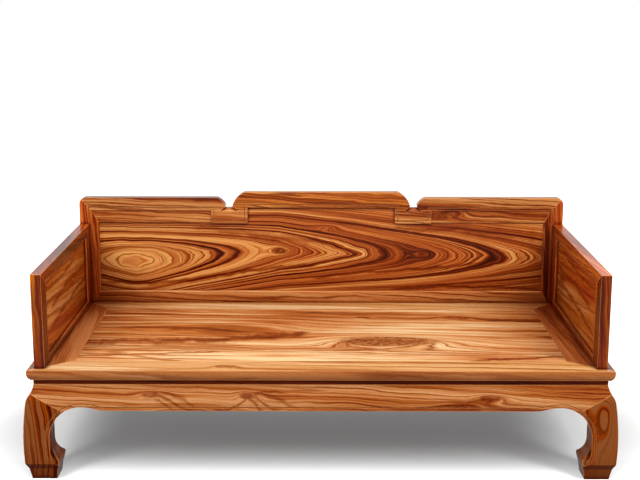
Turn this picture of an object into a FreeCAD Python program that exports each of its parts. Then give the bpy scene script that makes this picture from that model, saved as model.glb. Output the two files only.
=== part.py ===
import FreeCAD, Part
import math
import os
import Sketcher

# A luohan daybed in solid rosewood, in millimetres. Origin: the middle of the floor under it, +Z up,
# the open front toward -Y. Every piece is its own solid and the joints between them are real ones.

doc = FreeCAD.newDocument("luohan_daybed")
sheet = doc.addObject("Spreadsheet::Sheet", "Sizes")


class Size:
    """A length that keeps its number together with the sheet expression that gives it."""

    def __init__(self, value, text):
        self.value = value
        self.text = text

    def __add__(self, other):
        return Size(self.value + sized(other).value, "(%s + %s)" % (self.text, sized(other).text))

    def __sub__(self, other):
        return Size(self.value - sized(other).value, "(%s - %s)" % (self.text, sized(other).text))

    def __rsub__(self, other):
        return sized(other) - self

    def __mul__(self, factor):
        return Size(self.value * factor, "(%s * %r)" % (self.text, factor))

    def __truediv__(self, divisor):
        return Size(self.value / divisor, "(%s / %r)" % (self.text, divisor))

    def __neg__(self):
        return Size(-self.value, "(0 - %s)" % self.text)

    __radd__ = __add__
    __rmul__ = __mul__


def sized(thing):
    """A Size as it is, or the Size of a plain number."""
    return thing if isinstance(thing, Size) else Size(thing, repr(thing))


ZERO = Size(0, "0")
rows = 0


def size(alias, value):
    """Writes one driving length into the sheet under its alias."""
    global rows
    rows += 1
    cell = "A%d" % rows
    sheet.set(cell, str(value))
    sheet.setAlias(cell, alias)
    return Size(value, "Sizes.%s" % alias)


# Overall sizes
frame_width = size("frame_width", 2080)
frame_depth = size("frame_depth", 1005)
seat_height = size("seat_height", 406)
railing_height = size("railing_height", 342)
shoulder_height = size("shoulder_height", 454)
crest_rise = size("crest_rise", 24)

# Seat frame
frame_thickness = size("frame_thickness", 38)
front_rail_width = size("front_rail_width", 120)
rear_rail_width = size("rear_rail_width", 162)
end_rail_width = size("end_rail_width", 150)
arris_radius = size("arris_radius", 4)
edge_face = size("edge_face", 13)
edge_tuck = size("edge_tuck", 9)
edge_radius = size("edge_radius", 34)
lip_height = size("lip_height", 3.5)
lip_step = size("lip_step", 2)
seat_bevel = size("seat_bevel", 3)
mitre_start = size("mitre_start", 14)
mitre_tenon_width = size("mitre_tenon_width", 28)
mitre_tenon_thickness = size("mitre_tenon_thickness", 12)
mitre_tenon_edge = size("mitre_tenon_edge", 10)
mitre_tenon_cover = size("mitre_tenon_cover", 18)

# Seat boards and the battens under them
board_thickness = size("board_thickness", 20)
board_drop = size("board_drop", 1)
board_gap = size("board_gap", 0.5)
tongue_thickness = size("tongue_thickness", 8)
tongue_length = size("tongue_length", 8)
tongue_cover = size("tongue_cover", 9)
batten_width = size("batten_width", 34)
batten_depth = size("batten_depth", 34)
batten_neck = size("batten_neck", 26)
batten_head = size("batten_head", 32)
batten_sink = size("batten_sink", 6)
batten_tenon_width = size("batten_tenon_width", 18)
batten_tenon_height = size("batten_tenon_height", 12)
batten_tenon_length = size("batten_tenon_length", 24)
batten_tenon_drop = size("batten_tenon_drop", 2)

# Waist
waist_inset = size("waist_inset", 20.5)
waist_height = size("waist_height", 19)
waist_thickness = size("waist_thickness", 14)
waist_tongue = size("waist_tongue", 5)
waist_tongue_length = size("waist_tongue_length", 6)

# Swelling face shared by the aprons and the legs, measured from the waist's face and the aprons' top
cove_drop = size("cove_drop", 38)
cove_out = size("cove_out", 16.7)
cove_radius = size("cove_radius", 97)
belly_drop = size("belly_drop", 61)
belly_out = size("belly_out", 25.8)
belly_radius = size("belly_radius", 50)
calf_out = size("calf_out", 34.1)
calf_radius = size("calf_radius", 1095)

# Legs
leg_width = size("leg_width", 76.5)
knee_height = size("knee_height", 160)
ankle_height = size("ankle_height", 135)
hoof_reach = size("hoof_reach", 29.5)
hoof_top = size("hoof_top", 73)
hoof_radius = size("hoof_radius", 80)
hoof_heel_in = size("hoof_heel_in", 8)
hoof_base_in = size("hoof_base_in", 12)
hoof_line_out = size("hoof_line_out", 16)
hoof_line_rise = size("hoof_line_rise", 36)
scoop_foot = size("scoop_foot", 50)
scoop_head = size("scoop_head", 92)
scoop_inset = size("scoop_inset", 3)
foot_height = size("foot_height", 62)
foot_step_height = size("foot_step_height", 41)
foot_step_in = size("foot_step_in", 11.3)
foot_base_in = size("foot_base_in", 19.6)
post_inset = size("post_inset", 24)
leg_tenon_inset = size("leg_tenon_inset", 10)
leg_tenon_width = size("leg_tenon_width", 24)
leg_tenon_height = size("leg_tenon_height", 26)

# Aprons
apron_height = size("apron_height", 88)
apron_inset = size("apron_inset", 44)
arch_radius = size("arch_radius", 113.3)
arch_ease_run = size("arch_ease_run", 47.5)
arch_bead_width = size("arch_bead_width", 11)
mitre_corner_drop = size("mitre_corner_drop", 26)
mitre_end_out = size("mitre_end_out", 128)
mitre_end_height = size("mitre_end_height", 254)
apron_tenon_inset = size("apron_tenon_inset", 5)
apron_tenon_thickness = size("apron_tenon_thickness", 12)
apron_tenon_height = size("apron_tenon_height", 16)
apron_tenon_drop = size("apron_tenon_drop", 57)
apron_tenon_tip = size("apron_tenon_tip", 50)
apron_tenon_root = size("apron_tenon_root", 112)

# Railings
railing_margin = size("railing_margin", 24.5)
railing_thickness = size("railing_thickness", 38)
panel_thickness = size("panel_thickness", 14)
panel_recess = size("panel_recess", 10)
panel_tongue = size("panel_tongue", 8)
panel_tongue_thickness = size("panel_tongue_thickness", 7)
bead_groove = size("bead_groove", 2.5)
bead_groove_depth = size("bead_groove_depth", 2.5)
panel_bevel = size("panel_bevel", 4)

# Back railing
stile_width = size("stile_width", 49.5)
shoulder_rail_height = size("shoulder_rail_height", 54)
corner_radius = size("corner_radius", 28)
bead_width = size("bead_width", 11)
strip_recess = size("strip_recess", 4)
strip_thickness = size("strip_thickness", 20)
side_strip_width = size("side_strip_width", 29)
top_strip_height = size("top_strip_height", 55)
strip_tongue = size("strip_tongue", 5)
strip_tongue_thickness = size("strip_tongue_thickness", 5)
strip_tongue_inset = size("strip_tongue_inset", 8)
bottom_rail_height = size("bottom_rail_height", 51)
bar_tenon_inset = size("bar_tenon_inset", 2)
bar_tenon_thickness = size("bar_tenon_thickness", 8)
bar_tenon_height = size("bar_tenon_height", 30)
bar_tenon_length = size("bar_tenon_length", 24)
stile_tenon_inset = size("stile_tenon_inset", 6)
stile_tenon_width = size("stile_tenon_width", 20)
stile_tenon_height = size("stile_tenon_height", 50)
block_outer = size("block_outer", 463)
block_inner = size("block_inner", 310)
saddle_rise = size("saddle_rise", 10)
saddle_outer = size("saddle_outer", 408)
saddle_inner = size("saddle_inner", 366)
nose_undercut = size("nose_undercut", 12)
nose_reach = size("nose_reach", 7)
nose_lift = size("nose_lift", 12)
nose_curl_radius = size("nose_curl_radius", 12)
shoulder_nose_run = size("shoulder_nose_run", 36)
shoulder_nose_radius = size("shoulder_nose_radius", 60)
crest_nose_run = size("crest_nose_run", 53)
crest_nose_radius = size("crest_nose_radius", 95)
crest_underside = size("crest_underside", 13)
scoop_drop = size("scoop_drop", 6)
scoop_depth = size("scoop_depth", 14)
block_turn_radius = size("block_turn_radius", 8)
block_tenon_inset = size("block_tenon_inset", 8)
block_tenon_width = size("block_tenon_width", 25)
block_tenon_height = size("block_tenon_height", 24)
stay_width = size("stay_width", 30)
stay_depth = size("stay_depth", 12)
stay_neck = size("stay_neck", 19)
stay_head = size("stay_head", 24)
stay_sink = size("stay_sink", 5)
stay_tenon_width = size("stay_tenon_width", 18)
stay_tenon_length = size("stay_tenon_length", 12)
stay_tenon_inset = size("stay_tenon_inset", 2)
stay_tenon_thickness = size("stay_tenon_thickness", 8)
loose_tenon_length = size("loose_tenon_length", 60)
loose_tenon_thickness = size("loose_tenon_thickness", 12)
loose_tenon_reach = size("loose_tenon_reach", 20)
back_tenon_thickness = size("back_tenon_thickness", 12)

# Side railings
front_stile_width = size("front_stile_width", 80)
rear_stile_width = size("rear_stile_width", 78)
top_rail_height = size("top_rail_height", 52)
side_bottom_rail_height = size("side_bottom_rail_height", 26)
side_bead_width = size("side_bead_width", 8)
side_tenon_width = size("side_tenon_width", 22)
side_tenon_height = size("side_tenon_height", 44)
side_tenon_thickness = size("side_tenon_thickness", 12)
side_tenon_inset = size("side_tenon_inset", 12)
rail_tenon_length = size("rail_tenon_length", 30)
rail_tenon_height = size("rail_tenon_height", 12)
rail_tenon_lift = size("rail_tenon_lift", 3)
key_length = size("key_length", 22)
key_depth = size("key_depth", 20)
key_neck = size("key_neck", 9)
key_foot = size("key_foot", 15)
key_root = size("key_root", 12)
release_travel = size("release_travel", 24)
pin_length = size("pin_length", 16)
pin_height = size("pin_height", 34)
pin_width = size("pin_width", 12)

# Clearances and the overrun of every cut
joint_clearance = size("joint_clearance", 0.25)
slide_clearance = size("slide_clearance", 0.5)
overrun = size("overrun", 30)

# Shares of the sizes that these follow
BOARD_COUNT = 3
BATTEN_PLACE_SHARES = (-0.5, 0.0, 0.5)
BACK_TENON_PLACE_SHARES = (-0.8, -0.3, 0.3, 0.8)
KEY_PLACE_SHARES = (0.18, 0.8)
PIN_PLACE_SHARES = (0.25, 0.7)
STAY_PLACE_SHARES = (-0.64, 0.0, 0.64)
ROUND_MIDDLE_SHARE = 1 - math.sqrt(0.5)
BEVEL_ANGLE = 45

SIDE_NAMES = {-1: "left", 1: "right"}
END_NAMES = {-1: "front", 1: "rear"}

# Places worked out from the driving sizes
half_width = frame_width / 2
half_depth = frame_depth / 2
frame_bottom = seat_height - frame_thickness
apron_top = frame_bottom - waist_height
apron_bottom = apron_top - apron_height
board_top = seat_height - board_drop
board_bottom = board_top - board_thickness
tongue_top = board_top - tongue_cover
tongue_bottom = tongue_top - tongue_thickness
arch_top = knee_height + arch_radius
arch_reach = leg_width + arch_radius
waist_back = waist_inset + waist_thickness
tongue_inset = waist_inset + (waist_thickness - waist_tongue) / 2
boards_front = front_rail_width - half_depth
boards_rear = half_depth - rear_rail_width
boards_side = half_width - end_rail_width
back_rear = half_depth - railing_margin
back_front = back_rear - railing_thickness
side_outer = half_width - railing_margin
side_inner = side_outer - railing_thickness
side_front = railing_margin - half_depth
railing_top = seat_height + railing_height
shoulder_top = seat_height + shoulder_height
shoulder_under = shoulder_top - shoulder_rail_height
crest_top = shoulder_top + crest_rise
stile_inner = side_outer - stile_width
strip_inner = stile_inner - side_strip_width
strip_under = shoulder_under - top_strip_height
back_rail_top = seat_height + bottom_rail_height
saddle_top = shoulder_under + saddle_rise
panel_front = back_front + panel_recess
strip_front = back_front + strip_recess
bar_front = strip_front + strip_thickness
crest_under = shoulder_under + crest_underside
back_middle = (back_front + back_rear) / 2
side_middle = (side_inner + side_outer) / 2
panel_tongue_inset = (panel_thickness - panel_tongue_thickness) / 2


class Corner:
    """One corner of an outline, reached by a straight line or by an arc that turns left (1) or right (-1)."""

    def __init__(self, across, up, radius=None, turn=0):
        self.across = sized(across)
        self.up = sized(up)
        self.radius = radius
        self.turn = turn


def outline(*places):
    """An outline of straight lines through pairs of lengths."""
    return [Corner(across, up) for across, up in places]


def from_edge(corners, edge, side):
    """Lays an outline measured inward from an edge onto that edge, on side 1 or -1."""
    return [Corner((edge - each.across) * side, each.up, each.radius, -side * each.turn) for each in corners]


def swapped(corners):
    """The same outline with its two directions changed over."""
    return [Corner(each.up, each.across, each.radius, -each.turn) for each in corners]


def mirrored(corners):
    """The same outline on the left, run the other way round so that it goes on from the right half."""
    back = []
    for place in range(len(corners) - 1, -1, -1):
        after = corners[place + 1] if place + 1 < len(corners) else Corner(0, 0)
        back.append(Corner(-corners[place].across, corners[place].up, after.radius, after.turn))
    return back


def both_halves(corners):
    return corners + mirrored(corners)


def run_back(corners):
    """The same outline in the opposite order, each arc kept."""
    back = []
    for place in range(len(corners) - 1, -1, -1):
        after = corners[place + 1] if place + 1 < len(corners) else Corner(0, 0)
        back.append(Corner(corners[place].across, corners[place].up, after.radius, -after.turn))
    return back


def proportion(length, part, whole):
    """A length times the share that one length is of another."""
    value = length.value * part.value / whole.value
    return Size(value, "(%s * %s / %s)" % (length.text, part.text, whole.text))


def in_order(one, other):
    """Two lengths, the lower first."""
    return (one, other) if one.value <= other.value else (other, one)


def arc_between(start, end, radius, turn):
    """The short arc of a radius between two points, turning left (1) or right (-1)."""
    run = end[0] - start[0]
    rise = end[1] - start[1]
    chord = math.hypot(run, rise)
    reach = math.sqrt(max(radius * radius - chord * chord / 4, 0))
    centre_x = (start[0] + end[0]) / 2 - turn * reach * rise / chord
    centre_y = (start[1] + end[1]) / 2 + turn * reach * run / chord
    first, last = (start, end) if turn > 0 else (end, start)
    circle = Part.Circle(FreeCAD.Vector(centre_x, centre_y, 0), FreeCAD.Vector(0, 0, 1), radius)
    begin = math.atan2(first[1] - centre_y, first[0] - centre_x)
    finish = math.atan2(last[1] - centre_y, last[0] - centre_x)
    return Part.ArcOfCircle(circle, begin, finish)


bodies = []


class Piece:
    """One sub-part, or a shape to cut one with: a body with sketches, pads and pockets bound to the sheet."""

    def __init__(self, label, kept=True):
        self.body = doc.addObject("PartDesign::Body", label)
        self.body.Label = label
        self.count = 0
        if kept:
            bodies.append(self.body)

    def plane(self, role):
        return [each for each in self.body.Origin.OriginFeatures if each.Role == role + "_Plane"][0]

    def name(self, kind):
        self.count += 1
        return "%s_%s_%d" % (self.body.Name, kind, self.count)

    def sketch(self, role, loops, level):
        """Closed outlines on one of the body's planes, each corner and radius bound to the sheet."""
        sketch = self.body.newObject("Sketcher::SketchObject", self.name("sketch"))
        sketch.AttachmentSupport = [(self.plane(role), "")]
        sketch.MapMode = "FlatFace"
        sketch.setExpression("AttachmentOffset.Base.z", level.text)
        shapes = []
        rules = []
        texts = []
        for corners in loops:
            base = len(shapes)
            ends = []
            for place, corner in enumerate(corners):
                after = corners[(place + 1) % len(corners)]
                start = (corner.across.value, corner.up.value)
                end = (after.across.value, after.up.value)
                if after.turn:
                    shapes.append(arc_between(start, end, after.radius.value, after.turn))
                    ends.append((1, 2) if after.turn > 0 else (2, 1))
                    rules.append(Sketcher.Constraint("Radius", base + place, after.radius.value))
                    texts.append(after.radius.text)
                else:
                    shapes.append(Part.LineSegment(FreeCAD.Vector(*start), FreeCAD.Vector(*end)))
                    ends.append((1, 2))
            for place, corner in enumerate(corners):
                here = base + place
                after = (place + 1) % len(corners)
                there = base + after
                rules.append(Sketcher.Constraint("Coincident", here, ends[place][1], there, ends[after][0]))
                texts.append(None)
                first = ends[place][0]
                rules.append(Sketcher.Constraint("DistanceX", -1, 1, here, first, corner.across.value))
                texts.append(corner.across.text)
                rules.append(Sketcher.Constraint("DistanceY", -1, 1, here, first, corner.up.value))
                texts.append(corner.up.text)
        sketch.addGeometry(shapes, False)
        sketch.addConstraint(rules)
        for place, text in enumerate(texts):
            if text is not None:
                sketch.setExpression("Constraints[%d]" % place, text)
        return sketch

    def extrude(self, kind, role, loops, one, other):
        """A pad or pocket of outlines between two levels along the plane's own axis."""
        low, high = in_order(one, other)
        level = -high if role == "XZ" else low
        sketch = self.sketch(role, loops, level)
        feature = self.body.newObject("PartDesign::" + kind, self.name(kind.lower()))
        feature.Profile = sketch
        feature.Reversed = kind == "Pocket"
        feature.setExpression("Length", (high - low).text)
        sketch.Visibility = False
        return self

    def pad(self, role, corners, one, other):
        return self.extrude("Pad", role, [corners], one, other)

    def pocket(self, role, corners, one, other):
        return self.extrude("Pocket", role, [corners], one, other)

    def pocket_loops(self, role, loops, one, other):
        return self.extrude("Pocket", role, loops, one, other)

    def block(self, kind, one, other):
        """A block between two opposite corners, added or taken away."""
        (left, right), (front, rear), (low, high) = [in_order(sized(a), sized(b)) for a, b in zip(one, other)]
        plan = outline((left, front), (right, front), (right, rear), (left, rear))
        return self.extrude(kind, "XY", [plan], low, high)

    def add(self, one, other):
        return self.block("Pad", one, other)

    def cut(self, one, other):
        return self.block("Pocket", one, other)

    def bevel(self, role, opening, deep, face):
        """Widens an opening by the bevel's own depth, from a deep level out to a face."""
        starts_deep = (deep.value < face.value) != (role == "XZ")
        low, high = in_order(deep, face)
        spread = ZERO if starts_deep else high - low
        self.extrude("Pocket", role, [opening(spread)], low, high)
        self.body.Tip.TaperAngle = BEVEL_ANGLE if starts_deep else -BEVEL_ANGLE
        return self

    def carve(self, other):
        """Takes another body's shape away from this one."""
        feature = self.body.newObject("PartDesign::Boolean", self.name("carve"))
        feature.Type = "Cut"
        feature.setObjects([other.body])
        return self


def grown(one, other, clearance):
    """Two opposite corners of a block, moved apart by a clearance on every side."""
    low = []
    high = []
    for first, last in zip(one, other):
        bottom, top = in_order(sized(first), sized(last))
        low.append(bottom - clearance)
        high.append(top + clearance)
    return low, high


# Seat frame

def edge_loop():
    """What is cut away along the frame's edge: a soft arris above, a rounded belly and a thin lip below."""
    return [
        Corner(-overrun, seat_height + overrun),
        Corner(arris_radius, seat_height + overrun),
        Corner(arris_radius, seat_height),
        Corner(0, seat_height - arris_radius, arris_radius, 1),
        Corner(0, seat_height - edge_face),
        Corner(edge_tuck, frame_bottom + lip_height, edge_radius, 1),
        Corner(edge_tuck + lip_step, frame_bottom + lip_height),
        Corner(edge_tuck + lip_step, frame_bottom - overrun),
        Corner(-overrun, frame_bottom - overrun),
    ]


def mould_long_edge(piece, end):
    piece.pocket("YZ", from_edge(edge_loop(), half_depth, end), -half_width - overrun, half_width + overrun)


def mould_short_edge(piece, side):
    piece.pocket("XZ", from_edge(edge_loop(), half_width, side), -half_depth - overrun, half_depth + overrun)


def boards_opening(spread):
    """The opening of the seat frame that the boards fill, spread outward on every side."""
    side = boards_side + spread
    front = boards_front - spread
    rear = boards_rear + spread
    return outline((-side, front), (side, front), (side, rear), (-side, rear))


def bevel_seat_edge(piece):
    piece.bevel("XY", boards_opening, seat_height - seat_bevel, seat_height)


def leg_tenon(side, end, clearance):
    """The square tenon on a leg's top, which crosses the mitre of the seat frame."""
    near = waist_back + leg_tenon_inset
    far = near + leg_tenon_width
    one = ((half_width - near) * side, (half_depth - near) * end, frame_bottom)
    other = ((half_width - far) * side, (half_depth - far) * end, frame_bottom + leg_tenon_height)
    return grown(one, other, clearance)


def mitre_tenon(side, end, width, clearance):
    """The tenon that a long rail of the seat frame carries into an end rail."""
    edge = width - mitre_tenon_edge
    low = frame_bottom + (frame_thickness - mitre_tenon_thickness) / 2
    one = ((half_width - mitre_tenon_cover) * side, (half_depth - edge) * end, low)
    other = (boards_side * side, (half_depth - edge + mitre_tenon_width) * end, low + mitre_tenon_thickness)
    return grown(one, other, clearance)


def batten_centres():
    return [boards_side * share for share in BATTEN_PLACE_SHARES]


def batten_tenon(centre, end, width, clearance):
    """The tenon at one end of a batten, in the long rail."""
    top = board_bottom - batten_tenon_drop
    inner = half_depth - width
    one = (centre - batten_tenon_width / 2, inner * end, top - batten_tenon_height)
    other = (centre + batten_tenon_width / 2, (inner + batten_tenon_length) * end, top)
    return grown(one, other, clearance)


def loose_tenon(share, clearance):
    """A straight tenon between the rear rail and the back railing."""
    centre = stile_inner * share
    half = loose_tenon_thickness / 2
    one = (centre - loose_tenon_length / 2, back_middle - half, seat_height - loose_tenon_reach)
    other = (centre + loose_tenon_length / 2, back_middle + half, seat_height + loose_tenon_reach)
    return grown(one, other, clearance)


def board_groove(piece, end, width):
    """The groove that holds the boards along a long rail."""
    inner = half_depth - width
    reach = boards_side + tongue_length
    piece.cut(
        (-reach, (inner - overrun) * end, tongue_bottom - joint_clearance),
        (reach, (inner + tongue_length) * end, tongue_top + joint_clearance),
    )


def waist_groove(piece, end):
    """The groove under a long rail for the waist board's tongue."""
    reach = half_width - leg_width - joint_clearance
    piece.cut(
        (-reach, (half_depth - tongue_inset + joint_clearance) * end, frame_bottom - overrun),
        (reach, (half_depth - tongue_inset - waist_tongue - joint_clearance) * end,
         frame_bottom + waist_tongue_length + joint_clearance),
    )


def long_rail(end, width):
    """A front or rear rail of the seat frame, mitred at both ends and carrying the mitres' tenons."""
    piece = Piece("seat_%s_rail" % END_NAMES[end])
    inner = (half_depth - width) * end
    half = outline((boards_side, inner), (half_width - mitre_start, (half_depth - mitre_start) * end),
                   (half_width, half_depth * end))
    piece.pad("XY", both_halves(half), frame_bottom, seat_height)
    mould_long_edge(piece, end)
    for side in (-1, 1):
        piece.add(*mitre_tenon(side, end, width, ZERO))
        piece.cut(*leg_tenon(side, end, joint_clearance))
    bevel_seat_edge(piece)
    board_groove(piece, end, width)
    waist_groove(piece, end)
    for centre in batten_centres():
        piece.cut(*batten_tenon(centre, end, width, joint_clearance))
    if end == 1:
        for share in BACK_TENON_PLACE_SHARES:
            piece.cut(*loose_tenon(share, joint_clearance))


def key_centres():
    """The keys' places along a side railing, from its front end."""
    return [side_front + (back_front - side_front) * share for share in KEY_PLACE_SHARES]


def key_slot(piece, side, centre):
    """A slot whose rear half grips a key's dovetail and whose front half is wide enough to lift it out."""
    middle = side_middle * side
    floor = seat_height - key_depth - slide_clearance
    neck = key_neck / 2 + slide_clearance
    foot = key_foot / 2 + slide_clearance
    dovetail = outline(
        (middle - neck, seat_height + slide_clearance),
        (middle + neck, seat_height + slide_clearance),
        (middle + foot, floor),
        (middle - foot, floor),
    )
    grip_front = centre - key_length / 2
    piece.pocket("XZ", dovetail, grip_front, centre + key_length / 2 + slide_clearance)
    piece.cut(
        (middle - foot, grip_front - release_travel - slide_clearance, floor),
        (middle + foot, grip_front, seat_height + slide_clearance),
    )


def end_rail(side):
    """An end rail of the seat frame, with the mitres' mortises and the slots of the side railing's keys."""
    piece = Piece("seat_%s_rail" % SIDE_NAMES[side])
    corner = (half_width - mitre_start) * side
    plan = outline(
        (half_width * side, -half_depth),
        (half_width * side, half_depth),
        (corner, half_depth - mitre_start),
        (boards_side * side, boards_rear),
        (boards_side * side, boards_front),
        (corner, mitre_start - half_depth),
    )
    piece.pad("XY", plan, frame_bottom, seat_height)
    mould_short_edge(piece, side)
    bevel_seat_edge(piece)
    for end, width in ((-1, front_rail_width), (1, rear_rail_width)):
        piece.cut(*mitre_tenon(side, end, width, joint_clearance))
        piece.cut(*leg_tenon(side, end, joint_clearance))
    piece.cut(
        ((boards_side - overrun) * side, boards_front - tongue_length, tongue_bottom - joint_clearance),
        ((boards_side + tongue_length) * side, boards_rear + tongue_length, tongue_top + joint_clearance),
    )
    reach = half_depth - leg_width - joint_clearance
    piece.cut(
        ((half_width - tongue_inset + joint_clearance) * side, -reach, frame_bottom - overrun),
        ((half_width - tongue_inset - waist_tongue - joint_clearance) * side, reach,
         frame_bottom + waist_tongue_length + joint_clearance),
    )
    for centre in key_centres():
        key_slot(piece, side, centre)


# Seat boards and battens

def dovetail_head(centre, clearance):
    """The dovetail of a batten, as high as it sinks into the boards."""
    neck = batten_neck / 2 + clearance
    head = batten_head / 2 + clearance
    top = board_bottom + batten_sink + clearance
    return [(centre + head, top), (centre - head, top), (centre - neck, board_bottom)], neck


def seat_board(place):
    """One of the seat boards, tongued into the frame and into the next board."""
    piece = Piece("seat_board_%d" % (place + 1))
    width = (boards_rear - boards_front) / BOARD_COUNT
    front = boards_front + width * place + board_gap / 2
    rear = boards_front + width * (place + 1) - board_gap / 2
    reach = boards_side - board_gap / 2
    tongue = tongue_length - joint_clearance
    piece.add((-reach, front, board_bottom), (reach, rear, board_top))
    first = place == 0
    last = place == BOARD_COUNT - 1
    tongue_front = front - tongue if first else front
    piece.add((-reach - tongue, tongue_front, tongue_bottom), (reach + tongue, rear, tongue_top))
    if last:
        rear_reach = rear + tongue
        piece.add((-reach - tongue, rear - tongue, tongue_bottom), (reach + tongue, rear_reach, tongue_top))
    else:
        piece.add((-reach, rear - tongue, tongue_bottom), (reach, rear + tongue, tongue_top))
    if not first:
        piece.cut(
            (-reach - overrun, front - overrun, tongue_bottom - joint_clearance),
            (reach + overrun, front + tongue_length, tongue_top + joint_clearance),
        )
    for centre in batten_centres():
        head, neck = dovetail_head(centre, joint_clearance)
        below = board_bottom - overrun
        groove = outline(*head, (centre - neck, below), (centre + neck, below), (centre + neck, board_bottom))
        piece.pocket("XZ", groove, boards_front - overrun, boards_rear + overrun)


def batten(place, centre):
    """A batten that holds the boards together from below, tenoned into both long rails."""
    piece = Piece("seat_batten_%d" % (place + 1))
    head, neck = dovetail_head(centre, ZERO)
    low = board_bottom - batten_depth
    half = batten_width / 2
    section = outline((centre - half, low), (centre + half, low), (centre + half, board_bottom),
                      (centre + neck, board_bottom), *head, (centre - half, board_bottom))
    piece.pad("XZ", section, boards_front, boards_rear)
    for end, width in ((-1, front_rail_width), (1, rear_rail_width)):
        piece.add(*batten_tenon(centre, end, width, ZERO))


# Waist, aprons and legs, each measured inward from the seat frame's edge

def outer_curve(depth=ZERO):
    """The swelling face from the aprons' top down to the foot, or a line as deep under it everywhere."""
    face = waist_inset + depth
    return [
        Corner(face, apron_top),
        Corner(face - cove_out, apron_top - cove_drop, cove_radius, -1),
        Corner(face - belly_out, apron_top - belly_drop, belly_radius, 1),
        Corner(face - calf_out, foot_height, calf_radius, 1),
    ]


def foot_curve():
    """The tapered block under the hoof, from its top to the floor on the outer side."""
    face = waist_inset - calf_out
    return [Corner(face + foot_step_in, foot_step_height), Corner(face + foot_base_in, 0)]


def hoof_curve():
    """The inner side of a leg: the hoof that turns inward, the ankle and the rise of the arch."""
    tip = leg_width + hoof_reach
    return [
        Corner(tip - hoof_base_in, 0),
        Corner(tip - hoof_heel_in, foot_height / 2),
        Corner(tip, foot_height),
        Corner(tip, hoof_top),
        Corner(leg_width, ankle_height, hoof_radius, -1),
        Corner(leg_width, knee_height),
        Corner(arch_reach, arch_top, arch_radius, -1),
    ]


def tangent_radius(run, drop):
    """The radius of an arc that sets out along a line and has left it by a drop at the end of a run."""
    value = (run.value ** 2 + drop.value ** 2) / (drop.value * 2)
    return Size(value, "((%s ^ 2 + %s ^ 2) / (%s * 2))" % (run.text, drop.text, drop.text))


def arch_line(offset):
    """The arch, from a leg's inner edge to the apron's straight lower edge, moved into the wood by an offset."""
    half_drop = (arch_top - apron_bottom) / 2
    run = arch_ease_run
    radius = tangent_radius(run, half_drop)
    middle_out = arch_reach + run + proportion(offset, run, radius)
    middle_up = arch_top - half_drop + proportion(offset, radius - half_drop, radius)
    return [
        Corner(leg_width - offset, knee_height),
        Corner(arch_reach, arch_top + offset, arch_radius + offset, -1),
        Corner(middle_out, middle_up, radius + offset, -1),
        Corner(arch_reach + run * 2, apron_bottom + offset, radius - offset, 1),
    ]


def hoof_line(offset):
    """The sweep of the leg's bead into the hoof, moved into the wood by an offset, from its low end up."""
    radius = tangent_radius(hoof_line_rise, hoof_line_out)
    low_out = leg_width + hoof_line_out - proportion(offset, radius - hoof_line_out, radius)
    low_up = hoof_top - proportion(offset, hoof_line_rise, radius)
    return [
        Corner(low_out, low_up),
        Corner(leg_width - offset, hoof_top + hoof_line_rise, radius + offset, -1),
    ]


mitre_corner_height = apron_top - mitre_corner_drop


def mitre_height(inset):
    """The height of the shoulder mitre at an inset from the seat frame's edge."""
    return mitre_corner_height - proportion(inset, mitre_corner_height - mitre_end_height, mitre_end_out)


class Edge:
    """One edge of the seat frame: the planes and places that its apron and waist board follow."""

    def __init__(self, name, lengthwise, end):
        self.name = name
        self.end = end
        self.lengthwise = lengthwise
        self.section = "YZ" if lengthwise else "XZ"
        self.face = "XZ" if lengthwise else "YZ"
        self.reach = half_width if lengthwise else half_depth
        self.edge = half_depth if lengthwise else half_width

    def inset(self, distance):
        return (self.edge - distance) * self.end

    def place(self, along, inset, up):
        across = self.inset(sized(inset))
        return (along, across, up) if self.lengthwise else (across, along, up)

    def plan(self, places):
        """An outline in plan from pairs of length along the edge and inset from it."""
        corners = [Corner(along, self.inset(sized(inset))) for along, inset in places]
        return corners if self.lengthwise else swapped(corners)

    def cut(self, piece, one, other):
        piece.cut(self.place(*one), self.place(*other))

    def add(self, piece, one, other):
        piece.add(self.place(*one), self.place(*other))


EDGES = (Edge("front", True, -1), Edge("rear", True, 1), Edge("left", False, -1), Edge("right", False, 1))


def waist_board(edge):
    """A recessed waist board, mitred at its ends and tongued into the frame above and the apron below."""
    piece = Piece("%s_waist" % edge.name)
    reach = edge.reach
    ends = [
        (waist_inset - reach, waist_inset),
        (reach - waist_inset, waist_inset),
        (reach - waist_back, waist_back),
        (waist_back - reach, waist_back),
    ]
    piece.pad("XY", edge.plan(ends), apron_top, frame_bottom)
    stop = reach - leg_width - joint_clearance * 2
    edge.add(
        piece,
        (-stop, tongue_inset, apron_top - waist_tongue_length),
        (stop, tongue_inset + waist_tongue, frame_bottom + waist_tongue_length),
    )


def apron_tenon(edge, side, clearance):
    """A stub tenon behind the shoulder mitre, from the apron into the leg."""
    top = apron_top - apron_tenon_drop
    one = edge.place((edge.reach - apron_tenon_tip) * side, apron_tenon_inset, top)
    other = edge.place(
        (edge.reach - apron_tenon_root) * side,
        apron_tenon_inset + apron_tenon_thickness,
        top - apron_tenon_height,
    )
    return grown(one, other, clearance)


def below_mitre(reach, side):
    """What the leg holds at an apron's end: everything under the shoulder mitre."""
    far = arch_reach + overrun
    low = foot_height - overrun
    near = -overrun
    corners = outline((near, mitre_height(near)), (far, mitre_height(far)), (far, low), (near, low))
    return from_edge(corners, reach, side)


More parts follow.
